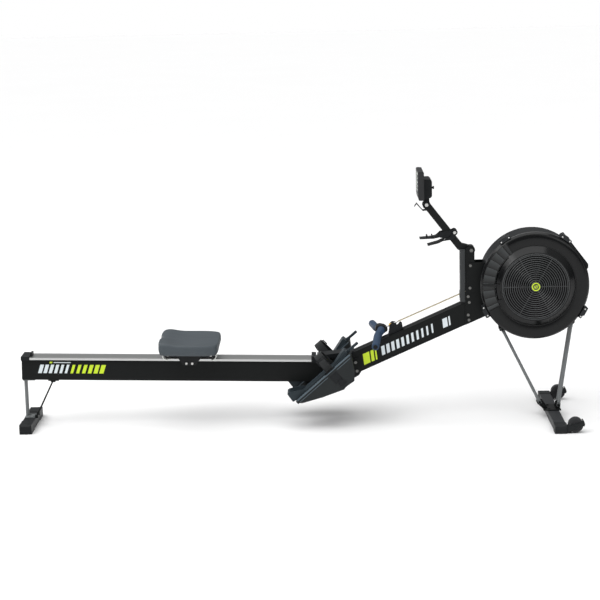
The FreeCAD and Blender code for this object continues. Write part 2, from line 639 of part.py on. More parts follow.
def drum_parts():
    """The housing: a drum, its lid with the intake grille, the exhaust hood and the clamps."""
    inner = DRUM_RADIUS - DRUM_WALL
    back = DRUM_BACK
    drum = revolved([(inner, DRUM_FRONT), (DRUM_RADIUS, DRUM_FRONT), (DRUM_RADIUS, back - 14),
                     (DRUM_RADIUS - 4, back - 5), (DRUM_RADIUS - 14, back), (60, back), (60, back - 4),
                     (inner - 12, back - 4), (inner, back - 14)])
    window = box(740, 800, -12, 12, 480, 602)
    drum = drum.cut(window)
    vents = []
    for i in range(12):
        for r0, r1 in ((84, 116), (126, 158)):
            vents.append(sector(r0, r1, back - 6, back + 2, 30 * i + 4, 30 * i + 26))
    drum = drum.cut(Part.makeCompound(vents))

    lid = revolved([(inner - 3, -83), (inner - 3, -80.3), (LID_RADIUS - 3, -80.3), (LID_RADIUS - 3, -74),
                    (LID_RADIUS, -74), (LID_RADIUS, LID_FACE + 7), (LID_RADIUS - 7, LID_FACE),
                    (CONE_FOOT, LID_FACE), (CONE_TOP, GRILLE_FACE), (CONE_TOP - 3, GRILLE_FACE),
                    (CONE_TOP - 3, GRILLE_FACE + 9), (CONE_FOOT - 3, LID_FACE + 3),
                    (LID_RADIUS - 8, LID_FACE + 3), (LID_RADIUS - 3.5, LID_FACE + 8), (LID_RADIUS - 3.5, -83)])
    slot = sector(CONE_TOP - 4, CONE_FOOT - 1.5, DAMPER_FACE - 2, LID_FACE + 12, SCALE_FIRST + 3, SCALE_LAST - 3)
    lid = lid.cut(slot)

    rings = []
    for i in range(10):
        radius = 28 + 12.6 * i
        rings.append(ring_y(HUB.x, HUB.z, radius + 2.2, radius - 2.2, GRILLE_FACE, GRILLE_FACE + 4))
    rings[-1] = ring_y(HUB.x, HUB.z, CONE_TOP - 3.2, 139.2, GRILLE_FACE, GRILLE_FACE + 4)
    spokes = []
    for i in range(6):
        spoke = box(HUB.x + 20, HUB.x + 141, GRILLE_FACE + 0.4, GRILLE_FACE + 4, HUB.z - 1.4, HUB.z + 1.4)
        spoke.rotate(HUB, V(0, 1, 0), 60.0 * i)
        spokes.append(spoke)
    boss = pin_y(HUB.x, HUB.z, 23.0, GRILLE_FACE - 1, GRILLE_FACE + 4)
    grille = fused([boss] + rings + spokes)
    badge = pin_y(HUB.x, HUB.z, 18.0, GRILLE_FACE - 2.5, GRILLE_FACE - 1)

    hood = plate([(1128, 800), (1222, 676), (1222, 658), (1205, 650), (1110, 780)], -52, 60, [4, 6, 3, 4, 4])
    hood = hood.cut(pin_y(HUB.x, HUB.z, DRUM_RADIUS - 1, -80, 80))

    clamps = []
    screws = []
    for angle in CLAMP_ANGLES:
        for first, last, reach in ((angle - 6.5, angle + 6.5, 13.5), (angle - 2.5, angle + 6.0, 18.0)):
            clamps.append(sector(LID_RADIUS + 0.3, LID_RADIUS + reach, -97, -56, first, last))
        lug = sector(DRUM_RADIUS + 0.2, LID_RADIUS + 0.3, -73.5, -56, angle - 6.5, angle + 6.5)
        clamps.append(lug)
        for turn in (angle - 4.8, angle + 4.2):
            spot = round_hub(turn, LID_RADIUS + 7.5)
            screws.append(pin_y(spot.x, spot.z, 3.2, -99.5, -97))
    blocks = []
    for i in range(0, len(clamps), 3):
        blocks.append(fused(clamps[i:i + 3]))
    return {
        "drum_shell": fused([drum, hood]),
        "drum_lid": lid,
        "intake_grille": group([grille, badge]),
        "rim_clamps": group(blocks + screws),
    }


def spider(y0, y1, arms, first):
    """A bearing plate with a boss and arms that reach the drum's wall."""
    boss = pin_y(HUB.x, HUB.z, 26.0, y0, y1)
    shapes = [boss]
    for i in range(arms):
        arm = box(HUB.x + 20, HUB.x + DRUM_RADIUS - DRUM_WALL - 0.3, y0, y1, HUB.z - 9, HUB.z + 9)
        arm.rotate(HUB, V(0, 1, 0), -first - 360.0 * i / arms)
        shapes.append(arm)
    plate_ring = ring_y(HUB.x, HUB.z, DRUM_RADIUS - DRUM_WALL - 0.6, 206.0, y0, y1)
    return fused(shapes + [plate_ring]).cut(pin_y(HUB.x, HUB.z, AXLE_RADIUS, y0 - 5, y1 + 5))


def fan_parts():
    """The axle, its bearing plates, the fan wheel and the chain sprocket."""
    axle = fused([pin_y(HUB.x, HUB.z, AXLE_RADIUS, -100, 60),
                  bolt_head(HUB.x, HUB.z, -94.0, 13.0, 8, -1),
                  bolt_head(HUB.x, HUB.z, 44.0, 13.0, 8, 1)])
    blades = []
    for i in range(FAN_BLADES):
        blade = box(HUB.x + 112, HUB.x + FAN_RADIUS - 1, -80, -19, HUB.z - 0.9, HUB.z + 0.9)
        blade.rotate(V(HUB.x + 112, 0, HUB.z), V(0, 1, 0), 24)
        blade.rotate(HUB, V(0, 1, 0), 360.0 * i / FAN_BLADES)
        blades.append(blade)
    disc = ring_y(HUB.x, HUB.z, FAN_RADIUS, BEARING_RADIUS, -20, -15)
    front = ring_y(HUB.x, HUB.z, FAN_RADIUS, 165.0, -82, -79)
    hub = ring_y(HUB.x, HUB.z, 26.0, BEARING_RADIUS, -72, -15)
    holes = []
    for i in range(6):
        spot = round_hub(60.0 * i, 75.0)
        holes.append(pin_y(spot.x, spot.z, 20.0, -25, -10))
    wheel = fused([disc, front, hub] + blades).cut(Part.makeCompound(holes))
    bearings = []
    for y0 in (-71.0, -30.0):
        bearings.append(ring_y(HUB.x, HUB.z, BEARING_RADIUS, AXLE_RADIUS + 0.05, y0, y0 + 11))

    teeth = []
    for i in range(SPROCKET_TEETH):
        tooth = plate([(HUB.x + 24, HUB.z - 3.6), (HUB.x + SPROCKET_PITCH_RADIUS + 2.2, HUB.z - 1.2),
                       (HUB.x + SPROCKET_PITCH_RADIUS + 2.2, HUB.z + 1.2), (HUB.x + 24, HUB.z + 3.6)],
                      -1.4, 1.4)
        tooth.rotate(HUB, V(0, 1, 0), 360.0 * (i + 0.5) / SPROCKET_TEETH)
        teeth.append(tooth)
    core = ring_y(HUB.x, HUB.z, 25.0, 8.1, -1.4, 1.4)
    clutch = ring_y(HUB.x, HUB.z, 19.0, 8.1, -11, 11)
    sprocket = fused([core, clutch] + teeth)

    coil = ring_y(HUB.x, HUB.z, 44.0, 30.0, 28, 39.8)
    return {
        "flywheel_axle": group([axle, spider(-94, -91, 3, 90.0), spider(40, 44, 3, 30.0), coil]),
        "fan_wheel": group([wheel] + bearings),
        "chain_sprocket": sprocket,
    }


def damper_parts():
    """The slotted plate behind the grille that meters the air, with its lever."""
    disc = pin_y(HUB.x, HUB.z, DAMPER_RADIUS, DAMPER_FACE, DAMPER_FACE + 2)
    ports = []
    for i in range(6):
        ports.append(sector(40, 130, DAMPER_FACE - 1, DAMPER_FACE + 3, 60 * i + 12, 60 * i + 48))
    disc = disc.cut(Part.makeCompound(ports))
    disc = disc.cut(pin_y(HUB.x, HUB.z, 10.0, DAMPER_FACE - 1, DAMPER_FACE + 3))
    arm = box(HUB.x + 132, HUB.x + 164, DAMPER_FACE, DAMPER_FACE + 4, HUB.z - 7, HUB.z + 7)
    neck = box(HUB.x + 158, HUB.x + 164, DAMPER_FACE, LID_FACE - 2, HUB.z - 7, HUB.z + 7)
    grip = [(HUB.x + 158, HUB.z - 8), (HUB.x + 176, HUB.z - 5), (HUB.x + 224, HUB.z - 3),
            (HUB.x + 224, HUB.z + 3), (HUB.x + 176, HUB.z + 5), (HUB.x + 158, HUB.z + 8)]
    lever = plate(grip, LID_FACE - 8, LID_FACE - 2)
    lever = fused([lever, neck, arm])
    lever.rotate(HUB, V(0, 1, 0), -LEVER_ANGLE)
    return {"damper": fused([disc, lever])}


# ---------------------------------------------------------------- chain, idlers and handle

def idler(centre):
    """A grooved chain idler wheel round a fixed axle."""
    wheel = ring_y(centre.x, centre.z, IDLER_RADIUS, 4.05, -7, 7)
    flanges = [ring_y(centre.x, centre.z, IDLER_RADIUS + 3, IDLER_RADIUS - 1, y0, y0 + 2) for y0 in (-7, 5)]
    return fused([wheel] + flanges)


def chain_parts():
    """The drive chain, its idlers and the take-up inside the main beam."""
    along = (CHAIN_EXIT - CHAIN_START).normalize()
    lift = V(-along.z, 0, along.x) * (IDLER_RADIUS + CHAIN_HEIGHT / 2 + 0.7)
    wrap_inner = SPROCKET_PITCH_RADIUS + 2.6
    run_height = wrap_inner + CHAIN_HEIGHT / 2
    upper = ribbon([CHAIN_START, UPPER_IDLER + lift, V(HUB.x - 7, 0, HUB.z + run_height)])
    wrap = sector(wrap_inner, wrap_inner + CHAIN_HEIGHT, -CHAIN_WIDTH / 2, CHAIN_WIDTH / 2, -98, 98)

    pulley = V(TAKEUP_X, 0, beam_bottom(TAKEUP_X) + TAKEUP_RISE)
    strand = V(-math.sin(math.radians(BEAM_ANGLE)), 0, math.cos(math.radians(BEAM_ANGLE)))
    strand = strand * (TAKEUP_RADIUS + CHAIN_HEIGHT / 2 + 0.3)
    lower = ribbon([pulley + strand, LOWER_IDLER + lift, V(HUB.x - 7, 0, HUB.z - run_height)])
    wheel = ring_y(pulley.x, pulley.z, TAKEUP_RADIUS, 4.0, -6, 6)
    tongue = [(pulley.x - 26, pulley.z - 14), (pulley.x + 5, pulley.z - 6), (pulley.x + 7, pulley.z + 4),
              (pulley.x + 1, pulley.z + 8), (pulley.x - 30, pulley.z - 6)]
    cheeks = both_sides(plate(tongue, 6.2, 9, 3))
    pin = pin_y(pulley.x, pulley.z, 4.0, -9, 9)
    yoke = box(pulley.x - 27, pulley.x - 21, -6.5, 6.5, pulley.z - 12, pulley.z - 4)
    cord = rod(V(BEAM_FIRST + 14, 15, beam_bottom(BEAM_FIRST + 14) + CORD_RISE),
               V(690, 15, beam_bottom(690) + CORD_RISE), 4.0)
    return {
        "upper_idler": idler(UPPER_IDLER),
        "lower_idler": idler(LOWER_IDLER),
        "drive_chain": upper,
        "return_chain": group([lower, wrap, cord]),
        "takeup_block": fused(cheeks + [pin, yoke, wheel]),
    }


def ribbon(points):
    """A chain's plain envelope along straight runs in the middle plane."""
    runs = []
    for first, last in zip(points, points[1:]):
        direction = (last - first).normalize()
        up = V(-direction.z, 0, direction.x) * (CHAIN_HEIGHT / 2)
        corners = [first - up, last - up, last + up, first + up]
        wire = Part.makePolygon([c - V(0, CHAIN_WIDTH / 2, 0) for c in corners + corners[:1]])
        runs.append(Part.Face(wire).extrude(V(0, CHAIN_WIDTH, 0)))
    for point in points[1:-1]:
        runs.append(pin_y(point.x, point.z, CHAIN_HEIGHT / 2, -CHAIN_WIDTH / 2, CHAIN_WIDTH / 2))
    return fused(runs)


def handle_parts():
    """The handle, its swivel on the chain's end and the rest that it is parked on."""
    along = (CHAIN_EXIT - CHAIN_START).normalize()
    swivel_end = CHAIN_START - along * 0.5
    link = rod(SWIVEL_PIN + along * 8, swivel_end, 3.0)
    collar = rod(SWIVEL_PIN + along * 20, SWIVEL_PIN + along * 34, 5.2)
    eye = ring_y(SWIVEL_PIN.x, SWIVEL_PIN.z, 8.5, 3.05, -3, 3)
    swivel = fused([link, collar, eye])

    core_centre = HANDLE_CENTRE
    core = pin_y(core_centre.x, core_centre.z, 18.0, -24, 24)
    cheek = plate([(core_centre.x - 4, core_centre.z - 14), (SWIVEL_PIN.x + 6, SWIVEL_PIN.z - 7),
                   (SWIVEL_PIN.x + 7, SWIVEL_PIN.z + 6), (core_centre.x - 2, core_centre.z + 16)],
                  3.4, 10, 3)
    yoke = fused([core] + both_sides(cheek))
    yoke = yoke.cut(pin_y(SWIVEL_PIN.x, SWIVEL_PIN.z, 9.5, -3.4, 3.4))
    yoke = yoke.cut(box(SWIVEL_PIN.x - 2, SWIVEL_PIN.x + 40, -3.4, 3.4, SWIVEL_PIN.z - 12, SWIVEL_PIN.z + 20))
    yoke = yoke.cut(pin_y(SWIVEL_PIN.x, SWIVEL_PIN.z, 3.0, -30, 30))
    pin = pin_y(SWIVEL_PIN.x, SWIVEL_PIN.z, 3.0, -24, 24)
    back = HANDLE_BACK.normalize()
    inner = core_centre + V(0, 24, 0)
    knee = core_centre + back * 20 + V(0, 70, 0)
    end = core_centre + back * 41 + V(0, HANDLE_HALF, 0)
    grip = fused([rod(inner, knee, GRIP_RADIUS), Part.makeSphere(GRIP_RADIUS, knee),
                  rod(knee, end, GRIP_RADIUS)])
    grip = grip.cut(box(core_centre.x - 60, core_centre.x + 60, 0, 24.1, core_centre.z - 60, core_centre.z + 60))
    caps = rod(end, end + (end - knee).normalize() * 3, GRIP_RADIUS - 3)

    deck = [(372, beam_top(372) + 0.2), (424, beam_top(424) + 0.2), (424, beam_top(424) + 4),
            (372, beam_top(372) + 4)]
    base = plate(deck, -24, 24)
    horn = plate([(374, beam_top(374) + 2), (412, beam_top(412) + 2), (404, 428), (386, 430), (376, 420)],
                 7.5, 20, [0, 0, 4, 4, 3])
    rest = fused([base] + both_sides(horn))
    return {
        "handle_core": group([yoke, pin, swivel]),
        "handle_grip_near": group([mirrored(grip), mirrored(caps)]),
        "handle_grip_far": group([grip, caps]),
        "handle_rest": rest,
    }


# ---------------------------------------------------------------- footboards

def footboard(side):
    """One footboard: a sloping board on two side panels, with its toe end wall."""
    tip = on_board(0, -6)
    profile = [on_board(0, 0), on_board(BOARD_LENGTH, 0), (219, 246), (218, 214), (181, 188), (175, 178),
               (82, 145), (-5, 121), tip]
    outer = plate(profile, BOARD_OUTER - 3, BOARD_OUTER, [2, 4, 8, 6, 3, 8, 0, 6, 2])
    inner = plate(profile, BOARD_INNER, BOARD_INNER + 3, [2, 4, 8, 6, 3, 8, 0, 6, 2])
    board = board_plate(0, BOARD_LENGTH, -5, 0, BOARD_INNER, BOARD_OUTER)
    toe_top = on_board(BOARD_LENGTH, -1)
    toe = plate([toe_top, (219, 246), (218, 214), (215, 214), (216, 246), (toe_top[0] - 4, toe_top[1] - 3)],
                BOARD_INNER, BOARD_OUTER)
    heel = board_plate(0, 6, -14, 0, BOARD_INNER, BOARD_OUTER)
    whole = fused([board, outer, inner, toe, heel])
    recess = board_plate(STRAP_FIRST - 1, STRAP_LAST + 1, -58, -14, BOARD_OUTER - 1.6, BOARD_OUTER + 1)
    whole = whole.cut(recess)
    for y0, y1 in ((BOARD_INNER + 4, BOARD_INNER + 9), (BOARD_OUTER - 9, BOARD_OUTER - 4)):
        whole = whole.cut(board_plate(STRAP_FIRST - 2, STRAP_LAST + 2, -8, 4, y0, y1))
    for spot in (FRONT_CROSSBAR, REAR_CROSSBAR):
        whole = whole.cut(pin_y(*spot, CROSSBAR_RADIUS, 40, BOARD_OUTER - 3))
    guides = []
    for y0 in (FOOT_CENTRE - 44, FOOT_CENTRE + 40):
        guides.append(board_plate(60, 170, 0, 3, y0, y0 + 4))
    whole = fused([whole] + guides)
    return whole if side > 0 else mirrored(whole)


def heel_slide(side):
    """The sliding heel cup on a footboard: a sole plate, a heel wall, a toe block and a rack."""
    half = 38.0
    y0 = FOOT_CENTRE - half
    y1 = FOOT_CENTRE + half
    sole = board_plate(4, 292, 0.4, 5, y0, y1)
    wall_shape = [on_board(-14, 4), on_board(4, 0.4), on_board(12, 5), on_board(2, 46), on_board(-10, 46)]
    wall = plate(wall_shape, y0, y1, [3, 0, 3, 3, 3])
    wing = plate([on_board(-8, 2), on_board(64, 2), on_board(48, 20), on_board(4, 44), on_board(-8, 44)],
                 y1 - 4, y1, [0, 3, 8, 6, 0])
    far_wing = wing.copy()
    far_wing.translate(V(0, 4 - 2 * half, 0))
    toe = plate([on_board(216, 4.5), on_board(300, 4.5), on_board(297, 24), on_board(288, 25)],
                y0 + 6, y1 - 6, [0, 3, 3, 4])
    rack = board_plate(290, 358, 1.5, 11, FOOT_CENTRE - 7, FOOT_CENTRE + 7)
    cup = fused([sole, wall, wing, far_wing, toe, rack])
    return cup if side > 0 else mirrored(cup)


def strap(side):
    """The strap's plain envelope over the foot: an arch of constant thickness."""
    thickness = 2.4
    across = [(BOARD_INNER + 6.5, -6), (BOARD_INNER + 8, 34), (BOARD_INNER + 34, STRAP_RISE),
              (FOOT_CENTRE + 16, STRAP_RISE), (BOARD_OUTER - 14, 36), (BOARD_OUTER - 6.5, -6)]
    inside = [(y, n) for y, n in across]
    outside = [(across[0][0] - thickness, -6), (BOARD_INNER + 8 - thickness, 35),
               (BOARD_INNER + 32, STRAP_RISE + thickness), (FOOT_CENTRE + 17, STRAP_RISE + thickness),
               (BOARD_OUTER - 14 + thickness, 37), (BOARD_OUTER - 6.5 + thickness, -6)]
    loop = inside + outside[::-1]
    points = []
    for y, n in loop:
        x, z = on_board(STRAP_FIRST, n)
        points.append(V(x, y, z))
    wire = outline(points, 0)
    reach_x, reach_z = on_board(STRAP_LAST, 0)
    start_x, start_z = on_board(STRAP_FIRST, 0)
    arch = Part.Face(wire).extrude(V(reach_x - start_x, 0, reach_z - start_z))
    return arch if side > 0 else mirrored(arch)


def buckle(side):
    """The cam buckle on the strap's outer flank."""
    shape = board_plate(STRAP_FIRST - 3, STRAP_LAST + 3, -13, 13, -3.2, 3.2)
    x, z = on_board(STRAP_FIRST, 0)
    lean = 24.0
    axis = V(math.cos(math.radians(BOARD_ANGLE)), 0, math.sin(math.radians(BOARD_ANGLE)))
    shape.rotate(V(x, 0, z), axis, lean)
    target = V(*[on_board(STRAP_FIRST, 56)[0], 0, on_board(STRAP_FIRST, 56)[1]])
    shape.translate(target - V(x, 0, z))
    shape.translate(V(0, BOARD_OUTER - 18, 0))
    shape = shape.cut(strap(1))
    solids = sorted(shape.Solids, key=lambda solid: -solid.Volume)
    return group([solids[0]]) if side > 0 else group([mirrored(solids[0])])


def foot_parts():
    """Both footboards with their heel slides, straps and buckles."""
    parts = {}
    for name, side in (("near", -1), ("far", 1)):
        parts["footboard_" + name] = footboard(side)
        parts["heel_slide_" + name] = heel_slide(side)
        parts["foot_strap_" + name] = group([strap(side), buckle(side)])
    return parts


# ---------------------------------------------------------------- front legs and foot

def strut(top, foot, y):
    """A leg tube with a flat lug at each end."""
    upper = V(top[0], y, top[1])
    lower = V(foot[0], y, foot[1])
    along = (upper - lower).normalize()
    tube = pipe(lower + along * 12, upper - along * 12, LEG_RADIUS, LEG_WALL)
    lugs = []
    for centre, way in ((lower, along), (upper, along * -1)):
        side = V(-way.z, 0, way.x) * 7
        reach = way * 20
        corners = [centre - side - way * 7, centre + side - way * 7, centre + side + reach, centre - side + reach]
        wire = Part.makePolygon([c - V(0, 2, 0) for c in corners + corners[:1]])
        lugs.append(Part.Face(wire).extrude(V(0, 4, 0)))
    leg = fused([tube] + lugs)
    for centre in (lower, upper):
        leg = leg.cut(pin_y(centre.x, centre.z, 4.0, y - 5, y + 5))
    return leg


def front_stand():
    """The four leg tubes, the foot under them, its bracket and the transport casters."""
    parts = {}
    for name, top, foot in (("left", LEFT_LEG_TOP, LEFT_LEG_FOOT), ("right", RIGHT_LEG_TOP, RIGHT_LEG_FOOT)):
        legs = [strut(top, foot, y) for y in (-LEG_SPREAD, LEG_SPREAD)]
        parts["front_leg_pair_" + name] = group(legs)

    front_foot = floor_foot(FRONT_FOOT_FIRST, FRONT_FOOT_WIDTH, FRONT_FOOT_HEIGHT, FRONT_FOOT_HALF,
                            FRONT_CAP_LENGTH)
    base_z = FRONT_FOOT_HEIGHT - 1
    base = box(1036, 1111, -52, 52, base_z, base_z + 4)
    ears = []
    for side in (-1, 1):
        y0 = side * (LEG_SPREAD - 4.2) - 2
        ears.append(plate([(1012, 72), (1010, 61), (1038, base_z), (1060, base_z), (1034, 72)], y0, y0 + 4,
                          [4, 4, 0, 0, 6]))
        ears.append(plate([(1090, base_z), (1111, base_z), (1113, 62), (1094, 62)], y0, y0 + 4, [0, 0, 5, 5]))
    bracket = fused([base] + ears)
    bolts = []
    for x, z in (LEFT_LEG_FOOT, RIGHT_LEG_FOOT):
        bracket = bracket.cut(pin_y(x, z, 4.0, -60, 60))
        bolts.append(through_bolt(x, z, 4.0, LEG_SPREAD + 2.2, 6.5))
    screws = []
    for x in (1062.0, 1095.0):
        for y in (-33.0, 33.0):
            screws.append(Part.makeCylinder(5, 3, V(x, y, base_z + 4)))

    anchors = []
    for (x, z), angle in ((LEFT_LEG_TOP, 233.5), (RIGHT_LEG_TOP, 315.5)):
        foot_sector = sector(DRUM_RADIUS + 0.2, DRUM_RADIUS + 4.2, -30, 30, angle - 7, angle + 7)
        tabs = []
        for side in (-1, 1):
            y0 = side * (LEG_SPREAD - 4.2) - 2
            tab = plate([(x - 12, z - 9), (x + 12, z - 9), (x + 18, z + 26), (x - 18, z + 26)], y0, y0 + 4,
                        [6, 6, 0, 0])
            tabs.append(tab.cut(pin_y(HUB.x, HUB.z, DRUM_RADIUS + 0.2, -80, 80)))
        anchor = fused([foot_sector] + tabs).cut(pin_y(x, z, 4.0, -60, 60))
        anchors.append(anchor)
        bolts.append(through_bolt(x, z, 4.0, LEG_SPREAD + 2.2, 6.5))

    end = FRONT_FOOT_FIRST + FRONT_FOOT_WIDTH
    forks = []
    for name, side in (("near", -1), ("far", 1)):
        y = CASTER_Y * side
        cheek_out = plate([(end + 0.2, 4), (end + 0.2, 30), (CASTER.x + 6, CASTER.z + 7), (CASTER.x + 7, CASTER.z - 7),
                           (end + 12, 4)], CASTER_HALF + 1, CASTER_HALF + 4, [0, 3, 6, 6, 4])
        back = box(end + 0.2, end + 3.2, -CASTER_HALF - 4, CASTER_HALF + 4, 5, 30)
        fork = fused([back] + both_sides(cheek_out)).cut(pin_y(CASTER.x, CASTER.z, 4.0, -40, 40))
        fork = fork.cut(pin_y(CASTER.x, CASTER.z, CASTER_RADIUS + 1, -CASTER_HALF - 1, CASTER_HALF + 1))
        bumper = sector_at(CASTER, CASTER_RADIUS + 1.5, CASTER_RADIUS + 6.5, -8, 8, -12, 38)
        stay = both_sides(plate([(CASTER.x - 2, CASTER.z - 5), (CASTER.x + CASTER_RADIUS + 4, CASTER.z - 2),
                                 (CASTER.x + CASTER_RADIUS + 4, CASTER.z + 12), (CASTER.x - 2, CASTER.z + 6)],
                                CASTER_HALF + 1, CASTER_HALF + 4, 2))
        links = both_sides(sector_at(CASTER, CASTER_RADIUS + 1.5, CASTER_RADIUS + 6.5, 7, CASTER_HALF + 4, 0, 22))
        fork = fused([fork, bumper] + stay + links).cut(pin_y(CASTER.x, CASTER.z, 4.0, -40, 40))
        fork.translate(V(0, y, 0))
        wheel = ring_y(CASTER.x, CASTER.z, CASTER_RADIUS, 4.05, y - CASTER_HALF, y + CASTER_HALF)
        for face in (-1, 1):
            dish = ring_y(CASTER.x, CASTER.z, 22.0, 10.0, y + face * CASTER_HALF - 3, y + face * CASTER_HALF + 3)
            wheel = wheel.cut(dish)
        axle = fused([pin_y(CASTER.x, CASTER.z, 4.0, y - CASTER_HALF - 4, y + CASTER_HALF + 4),
                      bolt_head(CASTER.x, CASTER.z, y - CASTER_HALF - 4, 6.0, 3, -1),
                      bolt_head(CASTER.x, CASTER.z, y + CASTER_HALF + 4, 6.0, 3, 1)])
        forks += [fork, axle]
        parts["caster_wheel_" + name] = wheel
    parts.update({
        "front_foot": group([front_foot] + forks),
        "front_leg_brackets": group([bracket] + anchors + bolts + screws),
    })
    return parts


def sector_at(centre, r0, r1, y0, y1, first, last):
    """A ring segment round an axis along Y through a given centre."""
    wire = Part.makePolygon([V(centre.x + r, y, centre.z) for r, y in
                             [(r0, y0), (r1, y0), (r1, y1), (r0, y1), (r0, y0)]])
    middle = V(centre.x, 0, centre.z)
    segment = Part.Face(wire).revolve(middle, V(0, 1, 0), first - last)
    segment.rotate(middle, V(0, 1, 0), -first)
    return segment


# ---------------------------------------------------------------- monitor arm and monitor

def arm_outline(width):
    """The arm's outline as seen from the side, for a given width."""
    pivot, elbow, end = [V(x, 0, z) for x, z in (ARM_PIVOT, ARM_ELBOW, ARM_END)]
    low = (elbow - pivot).normalize()
    high = (end - elbow).normalize()
    low_side = V(-low.z, 0, low.x) * (width / 2)
    high_side = V(-high.z, 0, high.x) * (width / 2)
    mitre = (low_side + high_side).normalize()
    mitre = mitre * (width / 2 / math.cos(low_side.getAngle(high_side) / 2))
    points = [pivot + low_side, elbow + mitre, end + high_side, end - high_side, elbow - mitre,
              pivot - low_side]
    return [(p.x, p.z) for p in points]


def arm_parts():
    """The folding monitor arm, its pivot bolt, the handle hook and the device holder."""
    tube = plate(arm_outline(ARM_WIDTH), -ARM_HALF, ARM_HALF)
    hollow = plate(arm_outline(ARM_WIDTH - 4), 2 - ARM_HALF, ARM_HALF - 2)
    tube = tube.cut(hollow)
    knuckle = pin_y(*ARM_PIVOT, 17.0, -ARM_HALF - 12, ARM_HALF + 12)
    ears = both_sides(fused([pin_y(*ARM_END, 17.0, ARM_HALF - 2, ARM_HALF + 4)]))
    arm = fused([tube, knuckle] + ears)
    arm = arm.cut(pin_y(*ARM_PIVOT, 5.05, -60, 60)).cut(pin_y(*ARM_END, 5.0, -60, 60))
    arm = arm.cut(pin_y(*ARM_END, 18.5, -ARM_HALF + 2, ARM_HALF - 2))
    arm = arm.cut(pin_y(*HOLDER_PIVOT, 5.0, -60, 60))

    x, z = ARM_END
    hook_line = [(x + 8, z - 21), (x - 16, z - 24), (x - 30, z - 8), (x - 41, z + 6), (x - 50, z - 6)]
    thick = 2.0
    upper = [(px, pz + thick) for px, pz in hook_line]
    lower = [(px - (1.5 if i > 2 else 0), pz - thick) for i, (px, pz) in enumerate(hook_line)]
    hook = plate(upper + lower[::-1], -14, 14)
    hook = hook.cut(plate(arm_outline(ARM_WIDTH + 0.4), -20, 20)).cut(pin_y(x, z, 17.5, -20, 20))
    hook = group([sorted(hook.Solids, key=lambda solid: -solid.Volume)[0]])
    end_bolt = through_bolt(x, z, 5.0, ARM_HALF + 4, 8.0)

    px, pz = HOLDER_PIVOT
    knob = pin_y(px, pz, 13.0, ARM_HALF + 1, ARM_HALF + 8)
    link = plate([(px + 8, pz - 10), (px - 4, pz + 10), (px - 60, pz + 2), (px - 78, pz - 14), (px - 60, pz - 22),
                  (px - 14, pz - 26)], ARM_HALF + 1, ARM_HALF + 5, [4, 4, 4, 3, 3, 6])
    cheeks = both_sides(fused([knob, link]))
    jaw = plate([(px - 62, pz - 8), (px - 92, pz - 18), (px - 148, pz - 22), (px - 148, pz - 27),
                 (px - 90, pz - 26), (px - 62, pz - 20)], -ARM_HALF - 5, ARM_HALF + 5, [0, 6, 0, 0, 6, 0])
    pegs = []
    for offset in (96, 118):
        for y in (-14, 14):
            pegs.append(rod(V(px - offset, y, pz - 21), V(px - offset + 1, y, pz - 10), 2.5))
    holder = fused(cheeks + [jaw] + pegs).cut(pin_y(px, pz, 5.05, -60, 60))
    lower_cheeks = both_sides(plate([(px + 8, pz - 8), (px - 8, pz + 8), (px - 16, pz - 18), (px - 48, pz - 30),
                                     (px - 50, pz - 36), (px - 6, pz - 30)], ARM_HALF + 8.3, ARM_HALF + 11.3,
                                    [4, 4, 8, 2, 2, 8]))
    lower_jaw = plate([(px - 44, pz - 28), (px - 70, pz - 40), (px - 115, pz - 52), (px - 114, pz - 56),
                       (px - 68, pz - 45), (px - 46, pz - 34)], -ARM_HALF - 11.3, ARM_HALF + 11.3,
                      [0, 10, 0, 0, 10, 0])
    jaw_spring = fused(lower_cheeks + [lower_jaw]).cut(pin_y(px, pz, 5.05, -60, 60))
    holder_bolt = through_bolt(px, pz, 5.0, ARM_HALF + 11.5, 7.0)
    return {
        "monitor_arm": group([arm, hook, end_bolt, holder_bolt]),
        "device_holder": holder,
        "holder_spring_jaw": jaw_spring,
    }


def monitor_parts():
    """The performance monitor: its two case halves, screen, buttons, neck and rear knob."""
    half = MONITOR_HALF
    front = plate([(503, 966), (525, 966), (525, 1088), (500, 1088), (500, 983)], -half, half, [4, 3, 6, 5, 6])
    window = box(499, 505, -50, 74, 994, 1078)
    front = front.cut(window)
    cavity = box(504, 522, -half + 3, half - 3, 972, 1082)
    front = front.cut(cavity)
    screen = box(501, 504, -50, 74, 994, 1078)
    rear = plate([(525.3, 972), (552, 972), (560, 980), (560, 1044), (552, 1052), (525.3, 1052)], -58, 58,
                 [0, 4, 4, 4, 4, 0])
    rear = rear.cut(box(525, 556, -54, 54, 977, 1047))
    neck = plate([(527, 971.7), (551, 971.7), (551, 948), (545, 940), (533, 940), (527, 948)], -13.6, 13.6)
    barrel = pin_y(*ARM_END, 14.0, -13.6, 13.6)
    neck = fused([neck, barrel]).cut(pin_y(*ARM_END, 5.05, -20, 20))
    knob = fused([Part.makeCylinder(4, 8, V(560.3, 0, 1010), V(1, 0, 0)),
                  Part.makeCylinder(6.5, 6, V(566, 0, 1010), V(1, 0, 0))])
    parts = {"monitor_rear_case": group([rear, neck, knob])}
    buttons = []
    for i in range(BUTTON_COUNT):
        buttons.append((-69.5, 1002 + 16.5 * i, 11.0, 5.0))
    for i, (y, z, half_y, half_z) in enumerate(buttons):
        front = front.cut(box(499, 505, y - half_y - 0.4, y + half_y + 0.4, z - half_z - 0.4, z + half_z + 0.4))
        parts["monitor_button_%d" % (i + 1)] = box(497.4, 503.0, y - half_y, y + half_y, z - half_z, z + half_z)
    parts["monitor_front_case"] = group([front, screen])
    return parts


# ---------------------------------------------------------------- all nodes

